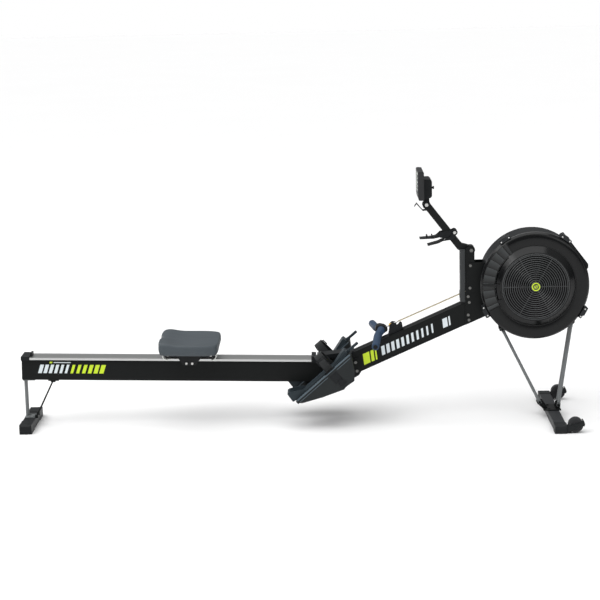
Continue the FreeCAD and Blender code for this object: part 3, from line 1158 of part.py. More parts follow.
def make_all():
    """Every node of the machine, by name."""
    nodes = {}
    nodes.update(rail_parts())
    nodes.update(rear_stand())
    nodes.update(seat_parts())
    nodes.update(beam_parts())
    nodes.update(latch_parts())
    nodes.update(mast_parts())
    nodes.update(drum_parts())
    nodes.update(fan_parts())
    nodes.update(damper_parts())
    nodes.update(chain_parts())
    nodes.update(handle_parts())
    nodes.update(foot_parts())
    nodes.update(front_stand())
    nodes.update(arm_parts())
    nodes.update(monitor_parts())
    return nodes


def main():
    os.makedirs(PARTS_FOLDER, exist_ok=True)
    nodes = make_all()
    for name, shape in nodes.items():
        solids = shape.Solids
        if not solids or not all(solid.isValid() for solid in solids):
            raise ValueError("bad solid in " + name)
        shape.exportStep(os.path.join(PARTS_FOLDER, name + ".step"))
    print(len(nodes), "nodes")


main()
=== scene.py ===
import math

import bpy
from mathutils import Matrix, Vector


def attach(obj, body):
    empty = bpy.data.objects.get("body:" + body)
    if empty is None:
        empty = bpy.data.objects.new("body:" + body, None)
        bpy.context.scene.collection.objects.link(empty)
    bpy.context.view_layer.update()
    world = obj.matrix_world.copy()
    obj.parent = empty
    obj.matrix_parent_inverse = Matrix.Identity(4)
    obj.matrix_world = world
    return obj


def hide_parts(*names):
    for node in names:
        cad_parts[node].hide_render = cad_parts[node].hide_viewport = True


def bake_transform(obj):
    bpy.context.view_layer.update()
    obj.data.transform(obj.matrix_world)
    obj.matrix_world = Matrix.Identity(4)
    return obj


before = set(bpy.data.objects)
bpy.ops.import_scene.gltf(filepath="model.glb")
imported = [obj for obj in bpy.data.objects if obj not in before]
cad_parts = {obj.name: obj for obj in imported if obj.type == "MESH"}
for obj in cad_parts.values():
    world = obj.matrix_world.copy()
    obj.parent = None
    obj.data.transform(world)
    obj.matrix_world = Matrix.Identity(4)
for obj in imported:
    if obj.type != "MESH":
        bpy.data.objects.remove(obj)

bl_info = {
    "name": "Rowing machine looks",
    "version": (1, 0, 0),
    "blender": (4, 5, 0),
    "location": "3D View > Sidebar > Rower",
    "description": "Finishes and fine pieces of an indoor rowing machine",
    "category": "Object",
}

for leftover in ("Cube", "Light", "Camera"):
    if leftover in bpy.data.objects:
        bpy.data.objects.remove(bpy.data.objects[leftover])
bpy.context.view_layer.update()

MM = 0.001
RAIL_TILT = math.radians(1.49)
RAIL_START = Vector((-1216.0, 0.0, 311.9))
HUB = Vector((991.5, 0.0, 594.6))
BOARD_ANGLE = math.radians(40.9)
BOARD_TIP = Vector((-32.0, 0.0, 127.5))
BEAM_ANGLE = math.radians(23.6)
BEAM_LOW = Vector((223.6, 0.0, 209.8))
NEAR = -1
FAR = 1
MERGE = 0.000002
CHAIN_PITCH = 12.7
BEAM_HALF = 33.0
SIDES = (("near", NEAR), ("far", FAR))


def tone(red, green, blue):
    """A display colour of three bytes as the linear colour that a shader takes."""
    made = []
    for byte in (red, green, blue):
        part = byte / 255
        made.append(part / 12.92 if part <= 0.04045 else ((part + 0.055) / 1.055) ** 2.4)
    return (*made, 1.0)


# --- settings

def colour(name, description, value):
    """A colour that the user may change."""
    return bpy.props.FloatVectorProperty(
        name=name, description=description, default=value, subtype="COLOR", size=4, min=0, max=1)


def length(name, description, value):
    """A length in metres that the user may change."""
    return bpy.props.FloatProperty(
        name=name, description=description, default=value, subtype="DISTANCE", unit="LENGTH")


class RowerColours(bpy.types.PropertyGroup):
    black_metal: colour("Black metal", "Powder coat of the rail, beam and mast", tone(17, 19, 19))
    black_plastic: colour("Black plastic", "Moulded housings and feet", tone(22, 24, 26))
    glossy_plastic: colour("Drum lid", "Polished plastic of the drum's lid", tone(8, 9, 10))
    charcoal: colour("Charcoal plastic", "Side panels of the footboards", tone(37, 40, 41))
    slate: colour("Slate plastic", "Heel slides and board edges", tone(46, 54, 59))
    seat: colour("Seat", "Moulded seat pad", tone(63, 70, 75))
    grip: colour("Grips", "Rubber of the handle", tone(30, 54, 80))
    leg: colour("Legs", "Satin coat of the steel legs", tone(112, 115, 116))
    lime: colour("Lime", "Bright bars on the beam and rail", tone(196, 222, 30))
    silver: colour("Silver", "Pale bars on the beam and rail", tone(212, 220, 224))
    nickel: colour("Chain", "Nickel plate of the chain", tone(196, 184, 152))


class RowerSizes(bpy.types.PropertyGroup):
    strap_thickness: length("Strap thickness", "Thickness of the foot webbing", 0.0018)
    grip_radius: length("Grip radius", "Radius of a handle grip", 0.0158)
    chain_plate: length("Link plate height", "Height of a chain's side plate", 0.0056)
    bar_thickness: length("Bar thickness", "Thickness of the coloured bars", 0.0004)
    ring_wire: length("Grille wire", "Radius of one ring of the intake grille", 0.0018)


def colours():
    return bpy.context.scene.rower_colours


def sizes():
    return bpy.context.scene.rower_sizes


# --- finishes

class Wire:
    """One output of a finish's node, with arithmetic that adds Math nodes."""

    def __init__(self, finish, socket):
        self.finish = finish
        self.socket = socket

    def _maths(self, operation, first, second):
        return self.finish.node("ShaderNodeMath", {"operation": operation}, {0: first, 1: second})

    def __add__(self, other):
        return self._maths("ADD", self, other)

    def __radd__(self, other):
        return self._maths("ADD", other, self)

    def __sub__(self, other):
        return self._maths("SUBTRACT", self, other)

    def __rsub__(self, other):
        return self._maths("SUBTRACT", other, self)

    def __mul__(self, other):
        return self._maths("MULTIPLY", self, other)

    def __rmul__(self, other):
        return self._maths("MULTIPLY", other, self)

    def __abs__(self):
        return self._maths("ABSOLUTE", self, 0.0)

    def __gt__(self, other):
        return self._maths("GREATER_THAN", self, other)

    def __lt__(self, other):
        return self._maths("LESS_THAN", self, other)


class Finish:
    """A material under construction, on object coordinates."""

    def __init__(self, name):
        self.material = bpy.data.materials.new(name)
        self.material.use_nodes = True
        self.tree = self.material.node_tree
        self.shader = self.tree.nodes["Principled BSDF"]
        self.place = self.node("ShaderNodeTexCoord", {}, {}, "Object")

    def node(self, kind, settings, inputs, output=0):
        """A node of that kind with its settings, socket values and links."""
        made = self.tree.nodes.new(kind)
        for key, value in settings.items():
            if key == "stops":
                for index, (position, shade) in enumerate(value):
                    if index > 1:
                        made.color_ramp.elements.new(position)
                for element, (position, shade) in zip(made.color_ramp.elements, value):
                    element.position = position
                    element.color = shade
            else:
                setattr(made, key, value)
        for key, value in inputs.items():
            if isinstance(value, Wire):
                self.tree.links.new(value.socket, made.inputs[key])
            else:
                made.inputs[key].default_value = value
        return Wire(self, made.outputs[output])

    def axes(self):
        """The X, Y and Z of the place being shaded, in metres."""
        split = self.node("ShaderNodeSeparateXYZ", {}, {0: self.place}, "X")
        made = split.socket.node
        return [Wire(self, made.outputs[axis]) for axis in "XYZ"]

    def noise(self, scale, detail=3.0, roughness=0.55, stretch=None):
        """Even noise from 0 to 1, stretched along the axes if wanted."""
        where = self.place
        if stretch:
            where = self.node("ShaderNodeMapping", {}, {"Vector": where, "Scale": stretch})
        return self.node("ShaderNodeTexNoise", {}, {
            "Vector": where, "Scale": scale, "Detail": detail, "Roughness": roughness}, 0)

    def blend(self, factor, first, second):
        """A mix of two colours."""
        return self.node("ShaderNodeMix", {"data_type": "RGBA"}, {0: factor, 6: first, 7: second}, 2)

    def shades(self, base, amount, factor):
        """The base colour, a little darker or lighter as the factor goes from 0 to 1."""
        dark = [part * (1 - amount) for part in base[:3]] + [1]
        light = [min(1, part * (1 + amount)) for part in base[:3]] + [1]
        return self.blend(factor, dark, light)

    def bump(self, height, distance, strength=1.0, below=None):
        inputs = {"Height": height, "Distance": distance, "Strength": strength}
        if below:
            inputs["Normal"] = below
        return self.node("ShaderNodeBump", {}, inputs)

    def use(self, **sockets):
        """Sets or links the shader's own sockets and returns the material."""
        for key, value in sockets.items():
            socket = self.shader.inputs[key.replace("_", " ")]
            if isinstance(value, Wire):
                self.tree.links.new(value.socket, socket)
            else:
                socket.default_value = value
        return self.material


def between(wire, low, high):
    """1 where the wire lies between two values, else 0."""
    return (wire > low) * (wire < high)


def disc(x, z, x0, z0, radius):
    """1 within that radius of an axis along Y, else 0."""
    across = x - x0
    rise = z - z0
    return (across * across + rise * rise) < radius ** 2


def perforated_painted_shade(name, base, holes):
    """A near-black screen of punched dots: painted shade that stands in for the dark inside of the drum,
    with the holes painted darker still.
    """
    made = Finish(name)
    dots = made.node("ShaderNodeTexVoronoi", {"feature": "F1"},
                     {"Vector": made.place, "Scale": holes, "Randomness": 0.0}, "Distance")
    # painted shade: the holes are painted near black
    hole_shade = dots < 0.42
    cloud = made.noise(20.0, 2.0)
    return made.use(
        Base_Color=made.blend(hole_shade, made.shades(base, 0.2, cloud), tone(3, 3, 3)),
        Roughness=0.5 + hole_shade * 0.3, Specular_IOR_Level=0.12, Normal=made.bump(dots, 0.0004, 0.6))


def powder_coat(name, base):
    """Baked powder on steel: faint orange peel, cloudy sheen."""
    made = Finish(name)
    cloud = made.noise(9.0, 4.0)
    peel = made.noise(620.0, 2.0)
    return made.use(
        Base_Color=made.shades(base, 0.12, cloud), Roughness=0.38 + cloud * 0.14,
        Specular_IOR_Level=0.14, Normal=made.bump(peel, 0.00018, 0.35))


def moulded(name, base, rough=0.45, grain=0.00022, speckle=0.1, level=0.16):
    """Injection moulded plastic with a spark-eroded grain."""
    made = Finish(name)
    cloud = made.noise(14.0, 3.0)
    grains = made.noise(1500.0, 2.0)
    return made.use(
        Base_Color=made.shades(base, speckle, cloud), Roughness=rough + cloud * 0.1 - 0.05,
        Specular_IOR_Level=level, Normal=made.bump(grains, grain, 0.5))


def two_moulded(name, first, second, mask_of, rough=(0.45, 0.4), metal=(0.0, 0.0)):
    """Moulded plastic with a second finish where mask_of(x, y, z) is 1."""
    made = Finish(name)
    mask = mask_of(*made.axes())
    cloud = made.noise(14.0, 3.0)
    grains = made.noise(1300.0, 2.0)
    base = made.blend(mask, made.shades(first, 0.12, cloud), made.shades(second, 0.08, cloud))
    return made.use(
        Base_Color=base, Roughness=rough[0] + mask * (rough[1] - rough[0]) + cloud * 0.08,
        Metallic=metal[0] + mask * (metal[1] - metal[0]),
        Specular_IOR_Level=0.18, Normal=made.bump(grains, 0.0002, 0.4))


def brushed(name, base, stretch, rough=0.3, streak=0.16):
    """Brushed steel with long fine lines along the axis that stretch is smallest on."""
    made = Finish(name)
    lines = made.noise(1.0, 3.0, 0.6, stretch)
    cloud = made.noise(5.0, 2.0)
    return made.use(
        Base_Color=made.shades(base, streak, lines), Metallic=1.0,
        Roughness=rough + lines * 0.12 + cloud * 0.06,
        Normal=made.bump(lines, 0.00006, 0.4))


def plated(name, base, rough=0.24):
    """Zinc or nickel plate, slightly dulled in patches."""
    made = Finish(name)
    cloud = made.noise(160.0, 3.0)
    return made.use(
        Base_Color=made.shades(base, 0.14, cloud), Metallic=1.0, Roughness=rough + cloud * 0.14,
        Normal=made.bump(cloud, 0.00005, 0.3))


def rubbery(name, base, rough=0.6, grain=420.0, depth=0.00025):
    """Moulded rubber or foam skin with a soft pebble."""
    made = Finish(name)
    cloud = made.noise(11.0, 4.0)
    pebble = made.node("ShaderNodeTexVoronoi", {"feature": "SMOOTH_F1"},
                       {"Vector": made.place, "Scale": grain, "Smoothness": 0.6}, "Distance")
    return made.use(
        Base_Color=made.shades(base, 0.1, cloud), Roughness=rough + cloud * 0.12,
        Specular_IOR_Level=0.4, Normal=made.bump(pebble, depth, 0.4))


def woven(name, base, across, along):
    """Webbing: a twill of that many yarns across and along the strap's own map."""
    made = Finish(name)
    strip = made.node("ShaderNodeUVMap", {}, {}, "UV")
    weft = made.node("ShaderNodeMapping", {}, {"Vector": strip, "Scale": (along, across, 1.0)})
    ribs = made.node("ShaderNodeTexWave", {"bands_direction": "DIAGONAL"},
                     {"Vector": weft, "Scale": 0.5, "Distortion": 0.6, "Detail": 2.0}, "Fac")
    cords = made.node("ShaderNodeTexWave", {"bands_direction": "Y"},
                      {"Vector": weft, "Scale": 0.5}, "Fac")
    weave = ribs * 0.6 + cords * 0.4
    fuzz = made.noise(900.0, 3.0)
    return made.use(
        Base_Color=made.shades(base, 0.45, weave * 0.8 + fuzz * 0.2), Roughness=0.78,
        Sheen_Weight=0.12, Specular_IOR_Level=0.25,
        Normal=made.bump(weave, 0.0005, 0.8))


def stepped(name, low, high):
    """Glossy plastic painted with shade and highlight: each facet of the damper's scale goes from light to
    dark across it, standing in for the light on its step.
    """
    made = Finish(name)
    x, y, z = made.axes()
    turn = made.node("ShaderNodeMath", {"operation": "ARCTAN2"}, {0: z - HUB.z * MM, 1: HUB.x * MM - x})
    begin = math.radians(180 - SCALE_FIRST)
    span = math.radians(SCALE_LAST - SCALE_FIRST) / SCALE_STEPS
    share = made.node("ShaderNodeMath", {"operation": "FRACT"}, {0: (begin - turn) * (1 / span)})
    cloud = made.noise(14.0, 3.0)
    # painted shade and highlight: light at one end of each facet, dark at the other
    return made.use(Base_Color=made.blend(share, high, low), Roughness=0.24 + cloud * 0.1,
                    Specular_IOR_Level=0.45)


def painted(name, base, rough=0.35):
    """A printed film with a light flop."""
    made = Finish(name)
    cloud = made.noise(60.0, 2.0)
    return made.use(Base_Color=made.shades(base, 0.05, cloud), Roughness=rough + cloud * 0.1)


def display(name):
    """The monitor's front: a dark case, a grey-green panel with rows of plain segments."""
    made = Finish(name)
    x, y, z = made.axes()
    glass = (x > 0.5005) * (x < 0.5045) * between(y, -0.0501, 0.0741) * between(z, 0.9939, 1.0781)
    cells = made.node("ShaderNodeCombineXYZ", {}, {0: y * 60.0, 1: z * 75.0, 2: 0.0})
    bricks = made.node("ShaderNodeTexBrick", {"offset": 0.0}, {
        "Vector": cells, "Scale": 1.0, "Mortar Size": 0.16, "Mortar Smooth": 0.1,
        "Brick Width": 0.9, "Row Height": 1.1}, "Fac")
    pick = made.node("ShaderNodeTexWhiteNoise", {"noise_dimensions": "2D"}, {
        "Vector": made.node("ShaderNodeVectorMath", {"operation": "FLOOR"}, {0: cells})}, "Value")
    lit = (1.0 - bricks) * (pick > 0.55)
    panel = made.blend(lit * 0.75, tone(128, 138, 124), tone(44, 50, 44))
    cloud = made.noise(14.0, 3.0)
    grains = made.noise(1500.0, 2.0)
    base = made.blend(glass, made.shades(tone(30, 31, 33), 0.12, cloud), panel)
    return made.use(
        Base_Color=base, Roughness=0.46 - glass * 0.3 + cloud * 0.06, Specular_IOR_Level=0.4,
        Normal=made.bump(grains * (1.0 - glass), 0.0002, 0.5))


def track_steel(name, base):
    """The stainless track: long grinding lines and faint tyre marks from the rollers."""
    made = Finish(name)
    x, y, z = made.axes()
    lines = made.noise(1.0, 3.0, 0.6, (4.0, 900.0, 900.0))
    marks = between(abs(y), 0.023, 0.041) * made.noise(1.0, 2.0, 0.5, (3.0, 300.0, 300.0))
    return made.use(
        Base_Color=made.shades(base, 0.1, lines), Metallic=1.0,
        Roughness=0.27 + lines * 0.12 + marks * 0.1, Normal=made.bump(lines, 0.00005, 0.3))


FINISHES = {}


def finish(name):
    """A finish by name, made once."""
    if name not in FINISHES:
        raise RuntimeError("there is no finish named " + name)
    return FINISHES[name]


# --- modelling helpers

def deselect():
    """Leaves edit mode with nothing selected."""
    if bpy.context.mode != "OBJECT":
        bpy.ops.object.mode_set(mode="OBJECT")
    bpy.ops.object.select_all(action="DESELECT")


def current():
    return bpy.context.view_layer.objects.active


def fresh(name, add, **settings):
    """Adds a primitive with its operator and names it."""
    deselect()
    add(**settings)
    piece = current()
    piece.name = name
    return piece


def only(piece):
    """Selects one piece and makes it active."""
    deselect()
    piece.select_set(True)
    bpy.context.view_layer.objects.active = piece


def settle(piece):
    """Puts a piece's place into its mesh, so that its object is at the origin."""
    only(piece)
    bpy.ops.object.transform_apply(location=True, rotation=True, scale=True)
    return piece


def apply_modifier(piece, kind, **settings):
    """Adds a modifier with its settings and applies it."""
    only(piece)
    bpy.ops.object.modifier_add(type=kind)
    modifier = piece.modifiers[-1]
    for key, value in settings.items():
        setattr(modifier, key, value)
    bpy.ops.object.modifier_apply(modifier=modifier.name)
    return piece


def soften(piece, width, segments=2, angle=35):
    """Rounds a piece's sharp edges."""
    return apply_modifier(piece, "BEVEL", width=width * MM, segments=segments,
                          limit_method="ANGLE", angle_limit=math.radians(angle))


def rounded(name, low, high, width, segments=2):
    """A box with rounded edges."""
    return soften(block(name, low, high), width, segments)


def tidy(piece):
    """Merges doubles and turns a piece's faces outwards."""
    only(piece)
    bpy.ops.object.mode_set(mode="EDIT")
    bpy.ops.mesh.select_all(action="SELECT")
    bpy.ops.mesh.remove_doubles(threshold=MERGE)
    bpy.ops.mesh.normals_make_consistent(inside=False)
    bpy.ops.object.mode_set(mode="OBJECT")
    return piece


def block(name, low, high):
    """A box between two corners in millimetres."""
    middle = (Vector(low) + Vector(high)) / 2
    piece = fresh(name, bpy.ops.mesh.primitive_cube_add, size=1, location=middle * MM)
    piece.scale = (Vector(high) - Vector(low)) * MM
    return settle(piece)


def line(name, points):
    """A polyline in millimetres, drawn by extruding one point after another."""
    piece = fresh(name, bpy.ops.mesh.primitive_plane_add, size=0.001)
    bpy.ops.object.mode_set(mode="EDIT")
    bpy.ops.mesh.select_mode(type="VERT")
    bpy.ops.mesh.select_all(action="SELECT")
    bpy.ops.mesh.merge(type="CENTER")
    bpy.ops.transform.translate(value=Vector(points[0]) * MM)
    for before, after in zip(points, points[1:]):
        step = (Vector(after) - Vector(before)) * MM
        bpy.ops.mesh.extrude_vertices_move(TRANSFORM_OT_translate={"value": step})
    return piece


def sheet_of(name, points):
    """A flat face with that outline."""
    piece = line(name, list(points) + [points[0]])
    bpy.ops.mesh.select_all(action="SELECT")
    bpy.ops.mesh.remove_doubles(threshold=MERGE)
    bpy.ops.mesh.edge_face_add()
    return piece


def slab(name, points, y0, y1):
    """A plate with an outline of (x, z) points between two values of Y, in millimetres."""
    piece = sheet_of(name, [(x, y0, z) for x, z in points])
    bpy.ops.mesh.extrude_region_move(TRANSFORM_OT_translate={"value": (0, (y1 - y0) * MM, 0)})
    return tidy(piece)


def from_face(face, rows):
    """A profile of (radius, y) points whose Y is measured from a face."""
    return [(radius, face + y) for radius, y in rows]


def lathe(name, profile, centre, steps=96, first=0.0, turn=360.0):
    """Spins a line of (radius, y) points round an axis along Y, from an angle above +X up."""
    begin = math.radians(first)
    points = [(centre.x + r * math.cos(begin), y, centre.z + r * math.sin(begin)) for r, y in profile]
    piece = line(name, points)
    bpy.ops.mesh.select_all(action="SELECT")
    bpy.ops.mesh.spin(steps=steps, angle=math.radians(turn), center=centre * MM, axis=(0, 1, 0))
    return tidy(piece)


def skin(name, rows, columns, place):
    """A grid with its own map, each point put by place(u, v), with u and v from 0 to 1."""
    piece = fresh(name, bpy.ops.mesh.primitive_grid_add, x_subdivisions=rows, y_subdivisions=columns, size=2)
    for vertex in piece.data.vertices:
        u = (vertex.co.x + 1) / 2
        v = (vertex.co.y + 1) / 2
        vertex.co = Vector(place(u, v)) * MM
    return piece


def joined(name, pieces):
    """Several pieces as one."""
    deselect()
    for piece in pieces:
        piece.select_set(True)
    bpy.context.view_layer.objects.active = pieces[0]
    bpy.ops.object.join()
    pieces[0].name = name
    pieces[0].data.name = name
    return pieces[0]


def moved(piece, matrix):
    """Moves a piece by a matrix and puts the move into its mesh."""
    piece.matrix_world = matrix @ piece.matrix_world
    return settle(piece)


def copied(piece, name):
    """A copy with its own mesh."""
    only(piece)
    bpy.ops.object.duplicate(linked=False)
    made = current()
    made.name = name
    made.data.name = name
    return made


def flipped(piece, name):
    """A mirror image across the machine's middle plane, with its faces outwards."""
    made = copied(piece, name)
    return tidy(moved(made, Matrix.Scale(-1, 4, (0, 1, 0))))


def present(piece, material, body, replaced=(), smooth=35):
    """Gives a finished piece its finish, body and the parts that it stands for."""
    only(piece)
    if smooth:
        bpy.ops.object.shade_smooth_by_angle(angle=math.radians(smooth))
    piece.data.materials.clear()
    piece.data.materials.append(finish(material))
    if body:
        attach(piece, body)
    if replaced:
        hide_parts(*replaced)
    deselect()
    return piece


def curve_through(points, share):
    """A point on a smooth curve through the points, at a share of its run from 0 to 1."""
    spans = len(points) - 1
    run = min(max(share, 0.0), 1.0) * spans
    index = min(int(run), spans - 1)
    t = run - index
    points = [Vector(point) for point in points]
    before = points[index - 1] if index else points[0] * 2 - points[1]
    after = points[index + 2] if index + 2 < len(points) else points[-1] * 2 - points[-2]
    first = points[index]
    last = points[index + 1]
    return 0.5 * (2 * first + (last - before) * t + (2 * before - 5 * first + 4 * last - after) * t * t
                  + (3 * first - before - 3 * last + after) * t ** 3)


def on_hub(angle, radius, y=0.0):
    """A point round the flywheel's axle, at an angle above +X seen from the near side."""
    turn = math.radians(angle)
    return (HUB.x + radius * math.cos(turn), y, HUB.z + radius * math.sin(turn))


def on_rail():
    """The rail's own frame: X along it, Z out of its track."""
    return Matrix.Translation(RAIL_START * MM) @ Matrix.Rotation(RAIL_TILT, 4, "Y")


def on_board(side):
    """A footboard's frame: X across the machine, Y out of the board, Z along it."""
    c = math.cos(BOARD_ANGLE)
    s = math.sin(BOARD_ANGLE)
    return Matrix(((0, -s, c, BOARD_TIP.x * MM), (side, 0, 0, 0), (0, c, s, BOARD_TIP.z * MM), (0, 0, 0, 1)))


def on_beam():
    """The main beam's frame: X along it, Z out of its upper face, from its low point."""
    return Matrix.Translation(BEAM_LOW * MM) @ Matrix.Rotation(-BEAM_ANGLE, 4, "Y")


# --- finishes of this machine

def arm_bolts(x, y, z):
    """1 on the ends of the monitor arm's two bolts."""
    return (abs(y) > 0.0202) * (disc(x, z, 0.5388, 0.938, 0.0085) + disc(x, z, 0.6565, 0.8186, 0.0075))


def make_finishes():
    """Makes every finish once, from the colours in the panel."""
    c = colours()
    bolt = tone(205, 205, 203)
    table = {
        "black_metal": (powder_coat, c.black_metal),
        "grey_leg": (powder_coat, c.leg),
        "track": (track_steel, tone(196, 197, 196)),
        "fan_steel": (brushed, tone(150, 152, 154), (200.0, 6.0, 200.0), 0.4),
        "bright_steel": (plated, tone(118, 118, 116), 0.4),
        "chain": (plated, c.nickel, 0.28),
        "brass": (plated, tone(200, 160, 84), 0.26),
        "black_plastic": (moulded, c.black_plastic),
        "soft_plastic": (moulded, tone(54, 56, 57), 0.5),
        "lid_plastic": (moulded, c.glossy_plastic, 0.2, 0.00003, 0.05, 0.26),
        # painted shade and highlight: the damper scale's facets go from the light tone to the dark one
        # across each step
        "scale_plastic": (stepped, tone(8, 9, 9), tone(54, 57, 58)),
        # a mid grey lighter than the drum and lid: partly the beads' own grey, partly painted highlight for
        # the bright arcs along the rim
        "rim_plastic": (moulded, tone(40, 41, 42), 0.14, 0.00004, 0.05, 1.0),
        "deep_plastic": (moulded, tone(9, 10, 11), 0.4, 0.0001, 0.05, 0.12),
        "ring_plastic": (moulded, tone(46, 48, 49), 0.25, 0.0001, 0.05, 0.5),
        "charcoal": (moulded, c.charcoal, 0.5, 0.0003),
        "slate": (moulded, c.slate, 0.46, 0.0003, 0.14),
        "recess": (moulded, tone(28, 30, 32), 0.5),
        "key_rubber": (rubbery, tone(92, 96, 98), 0.6, 900.0, 0.0001),
        "seat_skin": (rubbery, c.seat, 0.5, 520.0, 0.0002),
        "grip_rubber": (rubbery, c.grip, 0.5, 700.0, 0.0003),
        "tyre": (rubbery, tone(36, 37, 39), 0.6),
        "roller": (rubbery, tone(52, 53, 54), 0.45, 900.0, 0.0001),
        "webbing": (woven, tone(27, 29, 30), 14.0, 90.0),
        # painted highlight: a light slate for the lines of light along the footboards' edges
        "slate_edge": (moulded, tone(84, 96, 104), 0.38, 0.0002, 0.1, 0.3),
        # painted shade: near-black screens that stand in for the dark inside of the drum
        "mesh_screen": (perforated_painted_shade, tone(3, 4, 4), 340.0),
        "lime": (painted, c.lime),
        "silver": (painted, c.silver),
        "monitor_face": (display,),
        "carriage": (two_moulded, tone(30, 31, 32), tone(226, 226, 222),
            lambda x, y, z: abs(y) > 0.0521, (0.42, 0.3), (0.0, 0.25)),
        "bolted_arm": (two_moulded, c.black_metal, bolt, arm_bolts, (0.42, 0.26), (0.0, 1.0)),
        "foot_ends": (two_moulded, tone(40, 42, 44), tone(30, 32, 33),
            lambda x, y, z: abs(y) > 0.24, (0.4, 0.5)),
        "yoke": (two_moulded, c.black_plastic, bolt,
            lambda x, y, z: x > 0.3575, (0.45, 0.25), (0.0, 1.0)),
        "clamp": (two_moulded, tone(36, 38, 40), bolt,
            lambda x, y, z: y < -0.0971, (0.36, 0.28), (0.0, 1.0)),
        "takeup": (two_moulded, tone(34, 34, 35), tone(120, 120, 118),
            lambda x, y, z: abs(y) > 0.006, (0.5, 0.3), (0.0, 1.0)),
    }
    for name, (maker, *values) in table.items():
        FINISHES[name] = maker(name, *values)


NODE_FINISHES = {
    "black_metal": ("main_beam", "rail_socket", "mast_side_plates", "drum_saddle_bracket", "flywheel_axle",
        "frame_latch_lever", "front_leg_brackets", "rail_beam", "rear_brace"),
    "grey_leg": ("front_leg_pair_left", "front_leg_pair_right", "rear_leg"),
    "track": ("rail_track",),
    "fan_steel": ("fan_wheel",),
    "bright_steel": ("frame_bolts", "chain_sprocket", "return_chain"),
    "takeup": ("takeup_block",),
    "chain": ("drive_chain",),
    "black_plastic": ("joint_cover", "drum_shell", "handle_rest", "rear_foot", "rail_end_cap", "seat_stops",
        "upper_idler", "lower_idler", "device_holder", "holder_spring_jaw",
        "monitor_rear_case"),
    "soft_plastic": ("mast_nose",),
    "lid_plastic": ("drum_lid", "damper"),
    "deep_plastic": ("intake_grille",),
    "clamp": ("rim_clamps",),
    "yoke": ("handle_core",),
    "foot_ends": ("front_foot",),
    "carriage": ("seat_carriage",),
    "bolted_arm": ("monitor_arm",),
    "monitor_face": ("monitor_front_case",),
    "charcoal": ("footboard_near", "footboard_far"),
    "slate": ("heel_slide_near", "heel_slide_far"),
    "key_rubber": tuple("monitor_button_%d" % (i + 1) for i in range(5)),
    "seat_skin": ("seat_pad",),
    "grip_rubber": ("handle_grip_near", "handle_grip_far"),
    "webbing": ("foot_strap_near", "foot_strap_far"),
    "tyre": ("caster_wheel_near", "caster_wheel_far"),
    "roller": ("seat_rear_top_rollers", "seat_front_top_rollers", "seat_rear_lower_rollers",
        "seat_front_lower_rollers"),
}


class ROWER_OT_finishes(bpy.types.Operator):
    """Make the finishes and give each carried-over part its own."""
    bl_idname = "rower.finishes"
    bl_label = "Finishes"

    def execute(self, context):
        make_finishes()
        left = set(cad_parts)
        for name, nodes in NODE_FINISHES.items():
            for node in nodes:
                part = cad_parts[node]
                part.data.materials.clear()
                part.data.materials.append(finish(name))
                left.discard(node)
        if left:
            raise RuntimeError("parts with no finish: " + ", ".join(sorted(left)))
        return {"FINISHED"}


# --- seat

SEAT_MIDDLE = 726.0
SEAT_HALF_LENGTH = 131.0
SEAT_HALF_WIDTH = 160.0
SEAT_LOW = 46.3
SEAT_SKIRT = 35.0
SEAT_HIGH = 84.5


def bell(value, width):
    return math.exp(-(value / width) ** 2)


def seat_point(a, b, c):
    """A point of the seat from three shares between -1 and 1: along, across and up."""
    along = a * (1 - 0.07 * b ** 4)
    across = b * (1 - 0.06 * a ** 4 - 0.04 * max(a, 0) ** 2)
    skirt = 1 - 0.05 * max(0.0, -c) ** 2 - 0.035 * max(0.0, c) ** 4
    along *= skirt
    across *= skirt
    notch = 14 * bell(b, 0.2) * max(0.0, -a) ** 8
    up = max(0.0, (c + 1) / 2)
    hollow = 10.0 * bell(abs(b) - 0.47, 0.33) * bell(a + 0.1, 0.5)
    channel = 4.0 * bell(b, 0.12) * (0.6 - 0.4 * a)
    rear_lip = 6.5 * bell(a + 0.84, 0.26)
    front_roll = 9.0 * max(0.0, a - 0.55) ** 2
    side_roll = 26.0 * max(0.0, abs(b) - 0.74) ** 2 * (1 - bell(a + 0.84, 0.3))
    share = min(max((abs(b) - 0.5) / 0.12, 0.0), 1.0)
    low = SEAT_LOW + (SEAT_SKIRT - SEAT_LOW) * share * share * (3 - 2 * share)
    height = low + (SEAT_HIGH - low) * up
    height += up * up * (rear_lip - hollow - channel - front_roll - side_roll)
    return (SEAT_MIDDLE + along * SEAT_HALF_LENGTH + notch, across * SEAT_HALF_WIDTH, height)


class ROWER_OT_seat(bpy.types.Operator):
    """Model the moulded seat with its two hollows, rear lip and tail notch."""
    bl_idname = "rower.seat"
    bl_label = "Seat"

    def execute(self, context):
        seat = block("seat_cushion", (-1000, -1000, -1000), (1000, 1000, 1000))
        bpy.ops.object.mode_set(mode="EDIT")
        bpy.ops.mesh.select_all(action="SELECT")
        bpy.ops.mesh.subdivide(number_cuts=13)
        bpy.ops.mesh.select_mode(type="EDGE")
        bpy.ops.mesh.select_all(action="DESELECT")
        bpy.ops.object.mode_set(mode="OBJECT")
        for edge in seat.data.edges:
            ends = [seat.data.vertices[i].co for i in edge.vertices]
            edge.select = all(e.z > 0.99 and max(abs(e.x), abs(e.y)) > 0.99 for e in ends)
        bpy.ops.object.mode_set(mode="EDIT")
        bpy.ops.transform.edge_crease(value=0.45)
        bpy.ops.object.mode_set(mode="OBJECT")
        for vertex in seat.data.vertices:
            vertex.co = Vector(seat_point(*vertex.co)) * MM
        apply_modifier(seat, "SUBSURF", levels=2, render_levels=2)
        moved(seat, on_rail())
        tidy(seat)
        present(seat, "seat_skin", "seat", ["seat_pad"], 60)
        plinth = []
        for side in (NEAR, FAR):
            for s in (-62, 62):
                x, y = SEAT_MIDDLE + s, side * 96
                plinth.append(rounded("lug", (x - 20, y - 16, 43.0), (x + 20, y + 16, 47.5), 1.2))
        lugs = moved(joined("seat_lugs", plinth), on_rail())
        present(lugs, "black_plastic", "seat")
        return {"FINISHED"}


# --- straps and buckles

